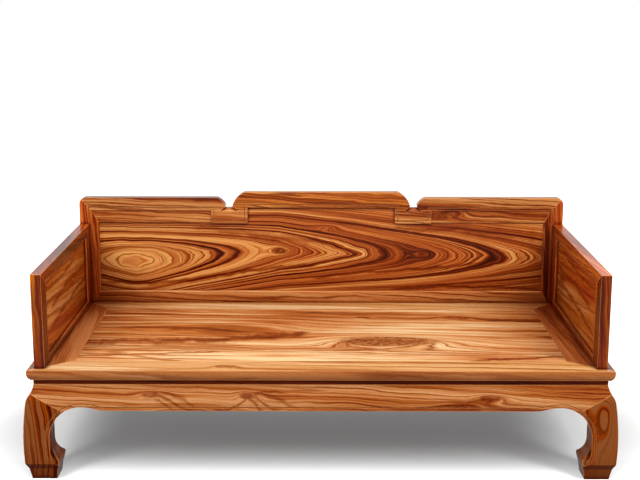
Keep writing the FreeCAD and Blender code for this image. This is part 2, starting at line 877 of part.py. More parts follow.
def arch_bead(piece, edge):
    """Cuts the groove that sets off the bead along a leg's inner edge and under the apron, evenly deep."""
    tool = Piece("%s_%s_groove" % (piece.body.Label, edge.name), kept=False)
    near, far = [
        both_halves(from_edge(hoof_line(offset) + arch_line(offset), edge.reach, 1))
        for offset in (arch_bead_width, arch_bead_width + bead_groove)
    ]
    tool.pad(edge.face, near + run_back(far), edge.inset(-overrun), edge.inset(apron_inset))
    core = outer_curve(bead_groove_depth)
    deep = apron_inset + overrun
    low = foot_height - overrun
    core += outline((core[-1].across, low), (deep, low), (deep, apron_top))
    span = edge.reach + overrun
    tool.pocket(edge.section, from_edge(core, edge.edge, edge.end), -span, span)
    piece.carve(tool)


def hoof_scoop(piece, edge, side):
    """Sets the hoof's tip back from the leg's face beside the bead, with a floor that slopes out to the foot."""
    tool = Piece("%s_%s_scoop" % (piece.body.Label, edge.name), kept=False)
    far = arch_reach
    top = ankle_height + overrun
    beside = outline((leg_width + hoof_line_out, scoop_foot - overrun)) + hoof_line(ZERO)
    beside += outline((leg_width, top), (far, top), (far, scoop_foot - overrun))
    outer = edge.inset(-overrun * 2)
    tool.pad(edge.face, from_edge(beside, edge.reach, side), outer, edge.inset(scoop_inset))
    face = waist_inset - calf_out
    slope = scoop_head - scoop_foot
    rise = proportion(overrun, slope, scoop_inset - face)
    floor = outline((face - overrun, scoop_foot - rise), (scoop_inset, scoop_head), (scoop_inset + overrun, scoop_head),
                    (scoop_inset + overrun, 0), (face - overrun, 0))
    tool.pocket(edge.section, from_edge(floor, edge.edge, edge.end), (edge.reach + overrun) * side,
                (edge.reach - far - overrun) * side)
    piece.carve(tool)


def apron(edge):
    """A swelling apron with its arched ends, mitred to its neighbours above the legs' shoulders."""
    piece = Piece("%s_apron" % edge.name)
    section = outer_curve() + outline((apron_inset, foot_height), (apron_inset, apron_top))
    span = edge.reach + overrun
    piece.pad(edge.section, from_edge(section, edge.edge, edge.end), -span, span)
    inner = edge.inset(apron_inset + overrun)
    outer = edge.inset(-overrun)
    arch = from_edge(arch_line(ZERO), edge.reach, 1)
    low = foot_height - overrun
    opening = both_halves(outline((edge.reach - leg_width, low)) + arch)
    piece.pocket(edge.face, opening, inner, outer)
    for side in (-1, 1):
        piece.pocket(edge.face, below_mitre(edge.reach, side), inner, outer)
        corner = edge.reach * side
        far = apron_inset + overrun
        beyond = (edge.reach + overrun * 2) * side
        wedge = [(beyond, -overrun * 2), (corner - far * side, far), (beyond, far)]
        piece.pocket("XY", edge.plan(wedge), ZERO, seat_height)
        edge.cut(
            piece,
            ((edge.reach + overrun) * side, post_inset, 0),
            ((edge.reach - leg_width) * side, far, seat_height),
        )
        piece.add(*apron_tenon(edge, side, ZERO))
    stop = edge.reach - leg_width - joint_clearance
    edge.cut(
        piece,
        (-stop, tongue_inset - joint_clearance, apron_top - waist_tongue_length - joint_clearance),
        (stop, tongue_inset + waist_tongue + joint_clearance, apron_top + overrun),
    )
    arch_bead(piece, edge)


def leg(side, end):
    """A leg cut to the same curve on both faces, with its hoof turned inward and its shoulder mitred."""
    piece = Piece("%s_%s_leg" % (END_NAMES[end], SIDE_NAMES[side]))
    outer = outer_curve() + foot_curve()
    shape = outer + hoof_curve() + outline((arch_reach, apron_top))
    far = arch_reach + overrun
    near = -overrun
    front = half_depth * end
    piece.pad("XZ", from_edge(shape, half_width, side), front - near * end, front - arch_reach * end)
    outside = outer + outline((near, 0), (near, apron_top))
    inside = hoof_curve() + outline((far, arch_top), (far, 0))
    loops = [from_edge(outside, half_depth, end), from_edge(inside, half_depth, end)]
    piece.pocket_loops("YZ", loops, (half_width - near) * side, (half_width - far) * side)
    hollow = [
        (leg_width, apron_inset),
        (far, apron_inset),
        (far, far),
        (apron_inset, far),
        (apron_inset, leg_width),
        (leg_width, leg_width),
    ]
    plan = [Corner((half_width - across) * side, (half_depth - up) * end) for across, up in hollow]
    piece.pocket("XY", plan, ankle_height, apron_top)
    top = apron_top + overrun
    over = outline((near, mitre_height(near)), (far, mitre_height(far)), (far, top), (near, top))
    wing = [Corner(leg_width, mitre_height(leg_width))] + over[1:3] + [Corner(leg_width, top)]
    for role, reach, direction, depth, way in (
        ("XZ", half_width, side, half_depth, end),
        ("YZ", half_depth, end, half_width, side),
    ):
        outer_level = (depth - near) * way
        piece.pocket(role, from_edge(over, reach, direction), outer_level, (depth - post_inset) * way)
        piece.pocket(role, from_edge(wing, reach, direction), outer_level, (depth - far) * way)
    posts = ((knee_height, apron_top, post_inset), (apron_top, frame_bottom, waist_back))
    for lowest, highest, inset in posts:
        piece.add(
            ((half_width - inset) * side, (half_depth - inset) * end, lowest),
            ((half_width - leg_width) * side, (half_depth - leg_width) * end, highest),
        )
    piece.add(*leg_tenon(side, end, ZERO))
    for edge in EDGES:
        across = side if edge.lengthwise else end
        if edge.end == (end if edge.lengthwise else side):
            piece.cut(*apron_tenon(edge, across, joint_clearance))
            hoof_scoop(piece, edge, across)
            arch_bead(piece, edge)


# Back railing

def back_stile(side):
    """An outer stile of the back railing, mitred into its shoulder rail through the rounded corner."""
    piece = Piece("back_%s_stile" % SIDE_NAMES[side])
    middle = corner_radius * ROUND_MIDDLE_SHARE
    corners = [
        Corner(0, seat_height),
        Corner(0, shoulder_top - corner_radius),
        Corner(middle, shoulder_top - middle, corner_radius, -1),
        Corner(stile_width, shoulder_under),
        Corner(stile_width, seat_height),
    ]
    piece.pad("XZ", from_edge(corners, side_outer, side), back_front, back_rear)
    piece.add(*stile_tenon(side, ZERO))
    piece.cut(*rail_tenon(side, joint_clearance))
    piece.cut(*strip_tongue_beside(side, joint_clearance))
    back_bead(piece)
    for share in PIN_PLACE_SHARES:
        piece.cut(*rear_pin(side, share, slide_clearance))


def stile_tenon(side, clearance):
    """The tenon on a back stile's top, inside the mitre of its shoulder rail."""
    low = shoulder_under - bead_width
    one = ((stile_inner + stile_tenon_inset) * side, back_middle - back_tenon_thickness / 2, low)
    far = (stile_inner + stile_tenon_inset + stile_tenon_width) * side
    return grown(one, (far, back_middle + back_tenon_thickness / 2, low + stile_tenon_height), clearance)


def rail_tenon(side, clearance):
    """The tenon at one end of the back railing's bottom rail."""
    low = seat_height + bead_width
    one = (stile_inner * side, bar_front + bar_tenon_inset, low)
    far = (stile_inner + bar_tenon_length) * side
    other = (far, bar_front + bar_tenon_inset + bar_tenon_thickness, low + bar_tenon_height)
    return grown(one, other, clearance)


def strip_tongue_beside(side, clearance):
    """The tongue of a side strip in its stile."""
    front = strip_front + strip_tongue_inset
    far = (stile_inner + strip_tongue) * side
    one = (stile_inner * side, front, back_rail_top)
    return grown(one, (far, front + strip_tongue_thickness, shoulder_under - strip_tongue), clearance)


def strip_tongue_above(side, clearance):
    """The tongue of a top strip in its shoulder rail."""
    front = strip_front + strip_tongue_inset
    one = ((block_outer + strip_tongue) * side, front, shoulder_under)
    far = (stile_inner - strip_tongue) * side
    return grown(one, (far, front + strip_tongue_thickness, shoulder_under + strip_tongue), clearance)


def bead_line(offset):
    """The stepped line round the inside of the outer frame, moved outward by an offset: its right half."""
    block = block_outer - offset
    crest = block_inner + offset
    under = strip_under + offset
    turn = block_turn_radius
    return [
        Corner(stile_inner + offset, seat_height - overrun),
        Corner(stile_inner + offset, shoulder_under + offset),
        Corner(block, shoulder_under + offset),
        Corner(block, under + turn),
        Corner(block - turn, under, turn, -1),
        Corner(crest + turn, under),
        Corner(crest, under + turn, turn, -1),
        Corner(crest, crest_under + offset),
    ]


def back_bead(piece):
    """The narrow groove that sets off the bead along the outer frame's inner edge."""
    inner = both_halves(bead_line(bead_width))
    outer = both_halves(bead_line(bead_width + bead_groove))
    piece.pocket("XZ", inner + run_back(outer), back_front - overrun, back_front + bead_groove_depth)


def panel_outline(spread):
    """The back panel's stepped outline, spread outward on every side."""
    low = back_rail_top - spread
    side = strip_inner + spread
    step = block_inner + spread
    half = outline((side, low), (side, strip_under + spread), (step, strip_under + spread),
                   (step, crest_under + spread))
    return both_halves(half)


def back_groove(piece):
    """The groove for the back panel's tongue."""
    front = panel_front + panel_tongue_inset
    piece.pocket("XZ", panel_outline(panel_tongue), front - joint_clearance,
                 front + panel_tongue_thickness + joint_clearance)


def bevel_inner_frame(piece):
    piece.bevel("XZ", panel_outline, strip_front + panel_bevel, strip_front)


def shoulder_rail(side):
    """A shoulder rail of the back railing, with its rounded nose towards the crest."""
    piece = Piece("back_%s_shoulder" % SIDE_NAMES[side])
    middle = corner_radius * ROUND_MIDDLE_SHARE
    tip = saddle_outer - nose_reach
    corners = [
        Corner((side_outer - middle) * side, shoulder_top - middle),
        Corner((side_outer - corner_radius) * side, shoulder_top, corner_radius, side),
        Corner((tip + shoulder_nose_run) * side, shoulder_top),
        Corner(tip * side, saddle_top + nose_lift, shoulder_nose_radius, side),
        Corner(saddle_outer * side, saddle_top, nose_curl_radius, side),
        Corner((saddle_outer + nose_undercut) * side, shoulder_under),
        Corner(stile_inner * side, shoulder_under),
    ]
    piece.pad("XZ", corners, back_front, back_rear)
    piece.cut(*stile_tenon(side, joint_clearance))
    piece.cut(*strip_tongue_above(side, joint_clearance))
    piece.cut(*block_tenon(side, block_outer, -1, joint_clearance))
    for share in STAY_PLACE_SHARES:
        if share * side > 0:
            piece.cut(*stay_tenon(share, True, joint_clearance))
    back_bead(piece)


def block_tenon(side, edge, inward, clearance):
    """A tenon on a step block's top, near one of its ends."""
    near = edge + block_tenon_inset * inward
    far = near + block_tenon_width * inward
    one = (near * side, back_middle - back_tenon_thickness / 2, shoulder_under - bead_width)
    other = (far * side, back_middle + back_tenon_thickness / 2, shoulder_under + block_tenon_height)
    return grown(one, other, clearance)


def step_block(side):
    """The short block that joins a shoulder rail to the crest rail, with a scooped saddle between them."""
    piece = Piece("back_%s_step_block" % SIDE_NAMES[side])
    turn = block_turn_radius
    corners = [
        Corner(block_outer * side, strip_under),
        Corner(block_outer * side, shoulder_under),
        Corner((saddle_outer + nose_undercut) * side, shoulder_under),
        Corner(saddle_outer * side, saddle_top),
        Corner(saddle_inner * side, saddle_top),
        Corner((saddle_inner - nose_undercut) * side, shoulder_under),
        Corner(block_inner * side, shoulder_under),
        Corner(block_inner * side, strip_under + turn),
        Corner((block_inner + turn) * side, strip_under, turn, side),
    ]
    piece.pad("XZ", corners, back_front, back_rear)
    piece.add(*block_tenon(side, block_outer, -1, ZERO))
    piece.add(*block_tenon(side, block_inner, 1, ZERO))
    scoop = outline(
        (back_front - overrun, shoulder_under - scoop_drop),
        (back_front, shoulder_under - scoop_drop),
        (back_front + scoop_depth, saddle_top),
        (back_front + scoop_depth, saddle_top + overrun),
        (back_front - overrun, saddle_top + overrun),
    )
    piece.pocket("YZ", scoop, (saddle_inner - nose_undercut) * side, (saddle_outer + nose_undercut) * side)
    back_groove(piece)
    back_bead(piece)


def crest_rail():
    """The raised rail in the middle of the back, with a rounded nose at each end."""
    piece = Piece("back_crest_rail")
    tip = saddle_inner + nose_reach
    half = [
        Corner(block_inner, crest_under),
        Corner(block_inner, shoulder_under),
        Corner(saddle_inner - nose_undercut, shoulder_under),
        Corner(saddle_inner, saddle_top),
        Corner(tip, saddle_top + nose_lift, nose_curl_radius, 1),
        Corner(tip - crest_nose_run, crest_top, crest_nose_radius, 1),
    ]
    piece.pad("XZ", both_halves(half), back_front, back_rear)
    for side in (-1, 1):
        piece.cut(*block_tenon(side, block_inner, 1, joint_clearance))
    piece.cut(*stay_tenon(0, True, joint_clearance))
    back_groove(piece)
    back_bead(piece)


def bottom_rail():
    """The back's bottom rail: a mitred face between the side strips and a bar behind it with its tenons."""
    piece = Piece("back_bottom_rail")
    face = outline((-stile_inner, seat_height), (stile_inner, seat_height), (strip_inner, back_rail_top),
                   (-strip_inner, back_rail_top))
    piece.pad("XZ", face, strip_front, bar_front)
    piece.add((-stile_inner, bar_front, seat_height), (stile_inner, back_rear, back_rail_top))
    for side in (-1, 1):
        piece.add(*rail_tenon(side, ZERO))
    for share in BACK_TENON_PLACE_SHARES:
        piece.cut(*loose_tenon(share, joint_clearance))
    for share in STAY_PLACE_SHARES:
        piece.cut(*stay_tenon(share, False, joint_clearance))
    bevel_inner_frame(piece)
    back_groove(piece)


def side_strip(side):
    """A strip of the inner frame beside the panel, mitred at both ends."""
    piece = Piece("back_%s_strip" % SIDE_NAMES[side])
    corners = outline((stile_inner * side, seat_height), (stile_inner * side, shoulder_under),
                      (strip_inner * side, strip_under), (strip_inner * side, back_rail_top))
    piece.pad("XZ", corners, strip_front, bar_front)
    piece.add(*strip_tongue_beside(side, ZERO))
    bevel_inner_frame(piece)
    back_groove(piece)


def top_strip(side):
    """A strip of the inner frame above the panel, under a shoulder rail."""
    piece = Piece("back_%s_top_strip" % SIDE_NAMES[side])
    corners = outline((block_outer * side, strip_under), (block_outer * side, shoulder_under),
                      (stile_inner * side, shoulder_under), (strip_inner * side, strip_under))
    piece.pad("XZ", corners, strip_front, bar_front)
    piece.add(*strip_tongue_above(side, ZERO))
    bevel_inner_frame(piece)
    back_groove(piece)


def back_panel():
    """The stepped floating panel of the back, held by a tongue all round."""
    piece = Piece("back_panel")
    tongue_front = panel_front + panel_tongue_inset
    piece.pad("XZ", panel_outline(-joint_clearance), panel_front, panel_front + panel_thickness)
    piece.pad("XZ", panel_outline(panel_tongue - joint_clearance), tongue_front,
              tongue_front + panel_tongue_thickness)
    for share in STAY_PLACE_SHARES:
        stay_groove(piece, share)


def stay_groove(piece, share):
    """The dovetail groove in the panel's back for one of its upright battens."""
    centre = stile_inner * share
    neck = stay_neck / 2 + joint_clearance
    head = stay_head / 2 + joint_clearance
    front = bar_front - stay_sink - joint_clearance
    beyond = bar_front + overrun
    groove = outline((centre - head, front), (centre + head, front), (centre + neck, bar_front),
                     (centre + neck, beyond), (centre - neck, beyond), (centre - neck, bar_front))
    piece.pocket("XY", groove, seat_height, crest_top)


def stay_top(share):
    """The heights at which an upright batten's dovetail and the batten itself end."""
    return (strip_under, shoulder_under) if share else (crest_under, crest_under)


def stay_tenon(share, above, clearance):
    """The tenon at an upright batten's top or bottom."""
    centre = stile_inner * share
    low = stay_top(share)[1] if above else back_rail_top - stay_tenon_length
    front = bar_front + stay_tenon_inset
    one = (centre - stay_tenon_width / 2, front, low)
    other = (centre + stay_tenon_width / 2, front + stay_tenon_thickness, low + stay_tenon_length)
    return grown(one, other, clearance)


def stay(place, share):
    """An upright batten that keeps the back panel flat, dovetailed into it and tenoned above and below."""
    piece = Piece("back_panel_batten_%d" % (place + 1))
    centre = stile_inner * share
    dovetail_top, top = stay_top(share)
    half = stay_width / 2
    piece.add((centre - half, bar_front, back_rail_top), (centre + half, bar_front + stay_depth, top))
    head = stay_head / 2
    neck = stay_neck / 2
    dovetail = outline((centre - head, bar_front - stay_sink), (centre + head, bar_front - stay_sink),
                       (centre + neck, bar_front), (centre - neck, bar_front))
    piece.pad("XY", dovetail, back_rail_top, dovetail_top)
    for above in (True, False):
        piece.add(*stay_tenon(share, above, ZERO))


def back_loose_tenons():
    """The straight tenons that stand in the rear rail and hold the back railing upright."""
    piece = Piece("back_loose_tenons")
    for share in BACK_TENON_PLACE_SHARES:
        piece.add(*loose_tenon(share, ZERO))


# Side railings

def side_mould(piece, side):
    """The panel's groove, the bevel of the opening and the narrow groove beside the bead of a side railing."""
    inner = side_inner * side
    piece.bevel("YZ", side_panel_outline, inner + panel_bevel * side, inner)
    piece.pocket("YZ", side_panel_outline(panel_tongue), *side_tongue_span(side, joint_clearance))
    ring = []
    for offset in (side_bead_width, side_bead_width + bead_groove):
        ring.append(side_panel_outline(offset))
    piece.pocket_loops("YZ", ring, inner - overrun * side, inner + bead_groove_depth * side)


def side_panel_outline(spread):
    """The opening of a side railing's frame, spread outward on every side."""
    front = side_front + front_stile_width - spread
    rear = back_front - rear_stile_width + spread
    low = seat_height + side_bottom_rail_height - spread
    high = railing_top - top_rail_height + spread
    return outline((front, low), (rear, low), (rear, high), (front, high))


def side_tongue_span(side, clearance):
    """The levels between which a side panel's tongue lies."""
    near = side_inner + panel_recess + panel_tongue_inset
    return (near - clearance) * side, (near + panel_tongue_thickness + clearance) * side


def side_stile_tenon(side, front, clearance):
    """The tenon on a side stile's top, inside the mitre of the top rail."""
    middle = side_middle * side
    half = side_tenon_thickness / 2
    low = railing_top - top_rail_height - side_bead_width
    if front:
        near = side_front + front_stile_width - side_tenon_inset
        far = near - side_tenon_width
    else:
        near = back_front - rear_stile_width + side_tenon_inset
        far = near + side_tenon_width
    return grown((middle - half, near, low), (middle + half, far, low + side_tenon_height), clearance)


def side_rail_tenon(side, front, clearance):
    """The tenon at one end of a side railing's bottom rail."""
    middle = side_middle * side
    half = side_tenon_thickness / 2
    low = seat_height + rail_tenon_lift
    if front:
        near = side_front + front_stile_width
        far = near - rail_tenon_length
    else:
        near = back_front - rear_stile_width
        far = near + rail_tenon_length
    return grown((middle - half, near, low), (middle + half, far, low + rail_tenon_height), clearance)


def key(side, centre, clearance):
    """The part of a sliding key that is let into a side railing's bottom."""
    middle = side_middle * side
    half = key_neck / 2
    one = (middle - half, centre - key_length / 2, seat_height)
    return grown(one, (middle + half, centre + key_length / 2, seat_height + key_root), clearance)


def rear_pin(side, share, clearance):
    """A pin between a side railing's rear stile and the back railing's stile."""
    middle = side_middle * side
    low = seat_height + railing_height * share
    one = (middle - pin_width / 2, back_front - pin_length, low)
    return grown(one, (middle + pin_width / 2, back_front + pin_length, low + pin_height), clearance)


def side_stile(side, front):
    """A stile of a side railing, mitred into the top rail."""
    piece = Piece("%s_railing_%s_stile" % (SIDE_NAMES[side], "front" if front else "rear"))
    outer = side_front if front else back_front
    inner = side_front + front_stile_width if front else back_front - rear_stile_width
    corners = outline((outer, seat_height), (outer, railing_top), (inner, railing_top - top_rail_height),
                      (inner, seat_height))
    piece.pad("YZ", corners, side_inner * side, side_outer * side)
    piece.add(*side_stile_tenon(side, front, ZERO))
    piece.cut(*side_rail_tenon(side, front, joint_clearance))
    side_mould(piece, side)
    if not front:
        for share in PIN_PLACE_SHARES:
            piece.cut(*rear_pin(side, share, ZERO))


def side_top_rail(side):
    """The top rail of a side railing, mitred at both ends."""
    piece = Piece("%s_railing_top_rail" % SIDE_NAMES[side])
    low = railing_top - top_rail_height
    corners = outline((side_front, railing_top), (back_front, railing_top),
                      (back_front - rear_stile_width, low), (side_front + front_stile_width, low))
    piece.pad("YZ", corners, side_inner * side, side_outer * side)
    for front in (True, False):
        piece.cut(*side_stile_tenon(side, front, joint_clearance))
    side_mould(piece, side)


def side_bottom_rail(side):
    """The bottom rail of a side railing, tenoned into both stiles, with the keys' sockets."""
    piece = Piece("%s_railing_bottom_rail" % SIDE_NAMES[side])
    front = side_front + front_stile_width
    rear = back_front - rear_stile_width
    high = seat_height + side_bottom_rail_height
    piece.add((side_inner * side, front, seat_height), (side_outer * side, rear, high))
    for is_front in (True, False):
        piece.add(*side_rail_tenon(side, is_front, ZERO))
    for centre in key_centres():
        piece.cut(*key(side, centre, ZERO))
    side_mould(piece, side)


def side_panel(side):
    """The floating panel of a side railing, held by a tongue all round."""
    piece = Piece("%s_railing_panel" % SIDE_NAMES[side])
    near = side_inner + panel_recess
    piece.pad("YZ", side_panel_outline(-joint_clearance), near * side, (near + panel_thickness) * side)
    piece.pad("YZ", side_panel_outline(panel_tongue - joint_clearance), *side_tongue_span(side, ZERO))


def side_keys(side):
    """The sliding dovetail keys under a side railing, in its bottom rail and the seat frame's slots."""
    piece = Piece("%s_railing_keys" % SIDE_NAMES[side])
    middle = side_middle * side
    low = seat_height - key_depth
    for centre in key_centres():
        section = outline(
            (middle - key_neck / 2, seat_height),
            (middle + key_neck / 2, seat_height),
            (middle + key_foot / 2, low),
            (middle - key_foot / 2, low),
        )
        piece.pad("XZ", section, centre - key_length / 2, centre + key_length / 2)
        piece.add(*key(side, centre, ZERO))


def side_pins(side):
    """The pins at the back of a side railing, in its rear stile and the back railing's mortises."""
    piece = Piece("%s_railing_pins" % SIDE_NAMES[side])
    for share in PIN_PLACE_SHARES:
        piece.add(*rear_pin(side, share, ZERO))


def finish():
    """Recomputes the document, checks every object and writes one file for each piece."""
    doc.recompute()
    for each in doc.Objects:
        if "Invalid" in each.State or "Error" in each.State:
            raise RuntimeError("%s failed: %s" % (each.Name, each.State))
    os.makedirs("parts", exist_ok=True)
    for body in bodies:
        if body.Shape.isNull() or not body.Shape.isValid():
            raise RuntimeError("%s has no valid shape" % body.Label)
        body.Shape.exportStep("parts/%s.step" % body.Label)


def build_seat():
    for end, width in ((-1, front_rail_width), (1, rear_rail_width)):
        long_rail(end, width)
    for side in (-1, 1):
        end_rail(side)
    for place in range(BOARD_COUNT):
        seat_board(place)
    for place, centre in enumerate(batten_centres()):
        batten(place, centre)
    for edge in EDGES:
        waist_board(edge)
        apron(edge)
    for end in (-1, 1):
        for side in (-1, 1):
            leg(side, end)


def build_railings():
    crest_rail()
    bottom_rail()
    back_panel()
    back_loose_tenons()
    for place, share in enumerate(STAY_PLACE_SHARES):
        stay(place, share)
    for side in (-1, 1):
        for make in (back_stile, shoulder_rail, step_block, side_strip, top_strip):
            make(side)
        for front in (True, False):
            side_stile(side, front)
        for make in (side_top_rail, side_bottom_rail, side_panel, side_keys, side_pins):
            make(side)


build_seat()
build_railings()
finish()
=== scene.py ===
import math
from dataclasses import dataclass

import bpy
from mathutils import Matrix, Vector

# The looks of a luohan daybed in polished rosewood: metres, +Z up, open front toward -Y. The CAD solids keep
# their shapes, and each of them gets a rosewood of its own.

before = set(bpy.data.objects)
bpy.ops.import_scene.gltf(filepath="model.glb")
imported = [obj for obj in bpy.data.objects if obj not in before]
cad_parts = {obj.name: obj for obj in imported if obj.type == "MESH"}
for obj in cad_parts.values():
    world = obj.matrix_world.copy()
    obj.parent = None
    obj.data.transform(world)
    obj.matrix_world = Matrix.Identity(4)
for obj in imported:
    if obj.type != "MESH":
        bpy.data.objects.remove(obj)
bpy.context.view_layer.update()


def linear(red, green, blue):
    """A colour as it looks on a screen, 0 to 255, as the linear values that a shader takes."""
    values = []
    for level in (red, green, blue):
        share = level / 255
        values.append(share / 12.92 if share <= 0.04045 else ((share + 0.055) / 1.055) ** 2.4)
    return tuple(values) + (1.0,)


# Camera, fitted to the photo

LENS_MM = 69.48
SENSOR_MM = 36.0
CAMERA_PLACE = Vector((0.0047, -4.6617, 1.7543))
CAMERA_TILT = math.radians(11.896)
CAMERA_YAW = math.radians(-0.109)
CAMERA_ROLL = math.radians(0.071)


def make_camera():
    ahead = Vector((math.sin(CAMERA_YAW) * math.cos(CAMERA_TILT),
                    math.cos(CAMERA_YAW) * math.cos(CAMERA_TILT),
                    -math.sin(CAMERA_TILT)))
    right = Vector((math.cos(CAMERA_YAW), -math.sin(CAMERA_YAW), 0))
    up = right.cross(ahead)
    turned_right = right * math.cos(CAMERA_ROLL) + up * math.sin(CAMERA_ROLL)
    turned_up = turned_right.cross(ahead)
    camera = bpy.data.objects.new("camera", bpy.data.cameras.new("camera"))
    camera.data.lens = LENS_MM
    camera.data.sensor_width = SENSOR_MM
    turn = Matrix((turned_right, turned_up, -ahead)).transposed()
    camera.matrix_world = Matrix.Translation(CAMERA_PLACE) @ turn.to_4x4()
    bpy.context.collection.objects.link(camera)
    bpy.context.scene.camera = camera


# Shader nodes

WHITE = (1.0, 1.0, 1.0, 1.0)

# The share of red, green and blue that the dark stain of the timber's lines, and painted shade too, lets
# through at full strength, and the steps to it
STAIN_AND_SHADE = (0.28, 0.11, 0.05)
STAIN_AND_SHADE_STEPS = 4


class Tree:
    """The shader nodes of one material, joined by short calls."""

    def __init__(self, name):
        self.material = bpy.data.materials.new(name)
        self.material.use_nodes = True
        self.nodes = self.material.node_tree.nodes
        self.links = self.material.node_tree.links
        self.shader = self.nodes["Principled BSDF"]

    def place(self, axis):
        coordinates = self.nodes.new("ShaderNodeTexCoord")
        parts = self.nodes.new("ShaderNodeSeparateXYZ")
        self.links.new(coordinates.outputs["Object"], parts.inputs[0])
        return parts.outputs[axis]

    def set(self, socket, value):
        if isinstance(value, bpy.types.NodeSocket):
            self.links.new(value, socket)
        else:
            socket.default_value = value

    def math(self, operation, one, other=0.0):
        node = self.nodes.new("ShaderNodeMath")
        node.operation = operation
        self.set(node.inputs[0], one)
        self.set(node.inputs[1], other)
        return node.outputs[0]

    def plus(self, one, other):
        return self.math("ADD", one, other)

    def minus(self, one, other):
        return self.math("SUBTRACT", one, other)

    def times(self, one, other):
        return self.math("MULTIPLY", one, other)

    def squared(self, value):
        return self.times(value, value)

    def hump(self, value):
        """A smooth hump: one where the value is zero, next to nothing two units away."""
        return self.math("EXPONENT", self.times(self.squared(value), -1.0))

    def vector(self, one, two, three):
        node = self.nodes.new("ShaderNodeCombineXYZ")
        for socket, value in zip(node.inputs, (one, two, three)):
            self.set(socket, value)
        return node.outputs[0]

    def noise(self, place, detail=2.0):
        node = self.nodes.new("ShaderNodeTexNoise")
        node.inputs["Scale"].default_value = 1.0
        node.inputs["Detail"].default_value = detail
        self.links.new(place, node.inputs["Vector"])
        return node.outputs["Fac"]

    def stretch(self, value, low, high, new_low=0.0, new_high=1.0, soft=False):
        node = self.nodes.new("ShaderNodeMapRange")
        node.interpolation_type = "SMOOTHSTEP" if soft else "LINEAR"
        for socket, level in zip(node.inputs, (value, low, high, new_low, new_high)):
            self.set(socket, level)
        return node.outputs[0]

    def ramp(self, value, stops):
        node = self.nodes.new("ShaderNodeValToRGB")
        elements = node.color_ramp.elements
        elements[0].position, elements[0].color = stops[0]
        elements[1].position, elements[1].color = stops[-1]
        for place, colour in stops[1:-1]:
            elements.new(place).color = colour
        self.links.new(value, node.inputs["Fac"])
        return node.outputs["Color"]

    def mix(self, share, one, other, blend="MIX"):
        node = self.nodes.new("ShaderNodeMix")
        node.data_type = "RGBA"
        node.blend_type = blend
        named = {socket.identifier: socket for socket in node.inputs}
        self.set(named["Factor_Float"], share)
        self.set(named["A_Color"], one)
        self.set(named["B_Color"], other)
        return [socket for socket in node.outputs if socket.type == "RGBA"][0]

    def stain_and_shade(self, share, colour):
        """A colour seen through a share of the dark stain, which takes blue and green before red; painted
        shade uses it too.
        """
        steps = [step / STAIN_AND_SHADE_STEPS for step in range(STAIN_AND_SHADE_STEPS + 1)]
        seen = self.ramp(share, [(step, tuple(level ** step for level in STAIN_AND_SHADE) + (1.0,)) for step in steps])
        return self.mix(1.0, colour, seen, blend="MULTIPLY")


# Studio

FLOOR_REACH = 9.0
FLOOR_ROUGHNESS = 0.9

# The floor is pale as far as the first Y and dim from the second one on
FLOOR_PALE = (0.48, 0.48, 0.48, 1.0)
FLOOR_DIM = (0.16, 0.16, 0.16, 1.0)
FLOOR_FADE = (-0.3, -1.6)

# It glows a little under the daybed, and white beyond an oval of these reaches along X and Y
FLOOR_GLOW = 0.12
FLOOR_WHITE = 1.0
GLOW_REACH = (1.2, 0.7)
GLOW_GROWS = (0.95, 1.5)

# The sky's strength, and how far back a direction looks where it grows from dim to white
SKY_DIM = 0.24
SKY_WHITE = 1.0
SKY_GROWS = (0.2, 0.55)

SOFTBOX_PLACE = (0.0, -2.4, 3.7)
SOFTBOX_TARGET = (0.0, 0.0, 0.0)
SOFTBOX_SIZE = (2.6, 5.0)
SOFTBOX_POWER = 160
KEY_SIZE = (0.8, 3.6)
KEY_TARGET = (0.0, 0.0, 0.5)
KEYS = {"left": ((-2.5, -2.9, 4.0), 300), "right": ((2.9, -2.8, 3.9), 330)}


def area_light(name, place, target, size, power):
    data = bpy.data.lights.new(name, "AREA")
    data.shape = "RECTANGLE"
    data.size, data.size_y = size
    data.energy = power
    light = bpy.data.objects.new(name, data)
    light.location = place
    light.rotation_euler = (Vector(target) - Vector(place)).to_track_quat("-Z", "Y").to_euler()
    bpy.context.collection.objects.link(light)


def floor_material():
    """A pale floor that glows whiter away from the daybed and is dimmer in front of it."""
    floor = Tree("floor_pale")
    across, deep = floor.place("X"), floor.place("Y")
    fade = floor.stretch(deep, *FLOOR_FADE, soft=True)
    floor.set(floor.shader.inputs["Base Color"], floor.mix(fade, FLOOR_PALE, FLOOR_DIM))
    floor.shader.inputs["Roughness"].default_value = FLOOR_ROUGHNESS
    away = floor.math("SQRT", floor.plus(floor.squared(floor.times(across, 1 / GLOW_REACH[0])),
                                         floor.squared(floor.times(deep, 1 / GLOW_REACH[1]))))
    floor.shader.inputs["Emission Color"].default_value = WHITE
    floor.set(floor.shader.inputs["Emission Strength"],
              floor.stretch(away, *GLOW_GROWS, FLOOR_GLOW, FLOOR_WHITE, soft=True))
    return floor.material


def make_floor():
    reach = FLOOR_REACH
    mesh = bpy.data.meshes.new("floor")
    mesh.from_pydata([(-reach, -reach, 0), (reach, -reach, 0), (reach, reach, 0), (-reach, reach, 0)],
                     [], [(0, 1, 2, 3)])
    mesh.materials.append(floor_material())
    sheet = bpy.data.objects.new("floor", mesh)
    bpy.context.collection.objects.link(sheet)


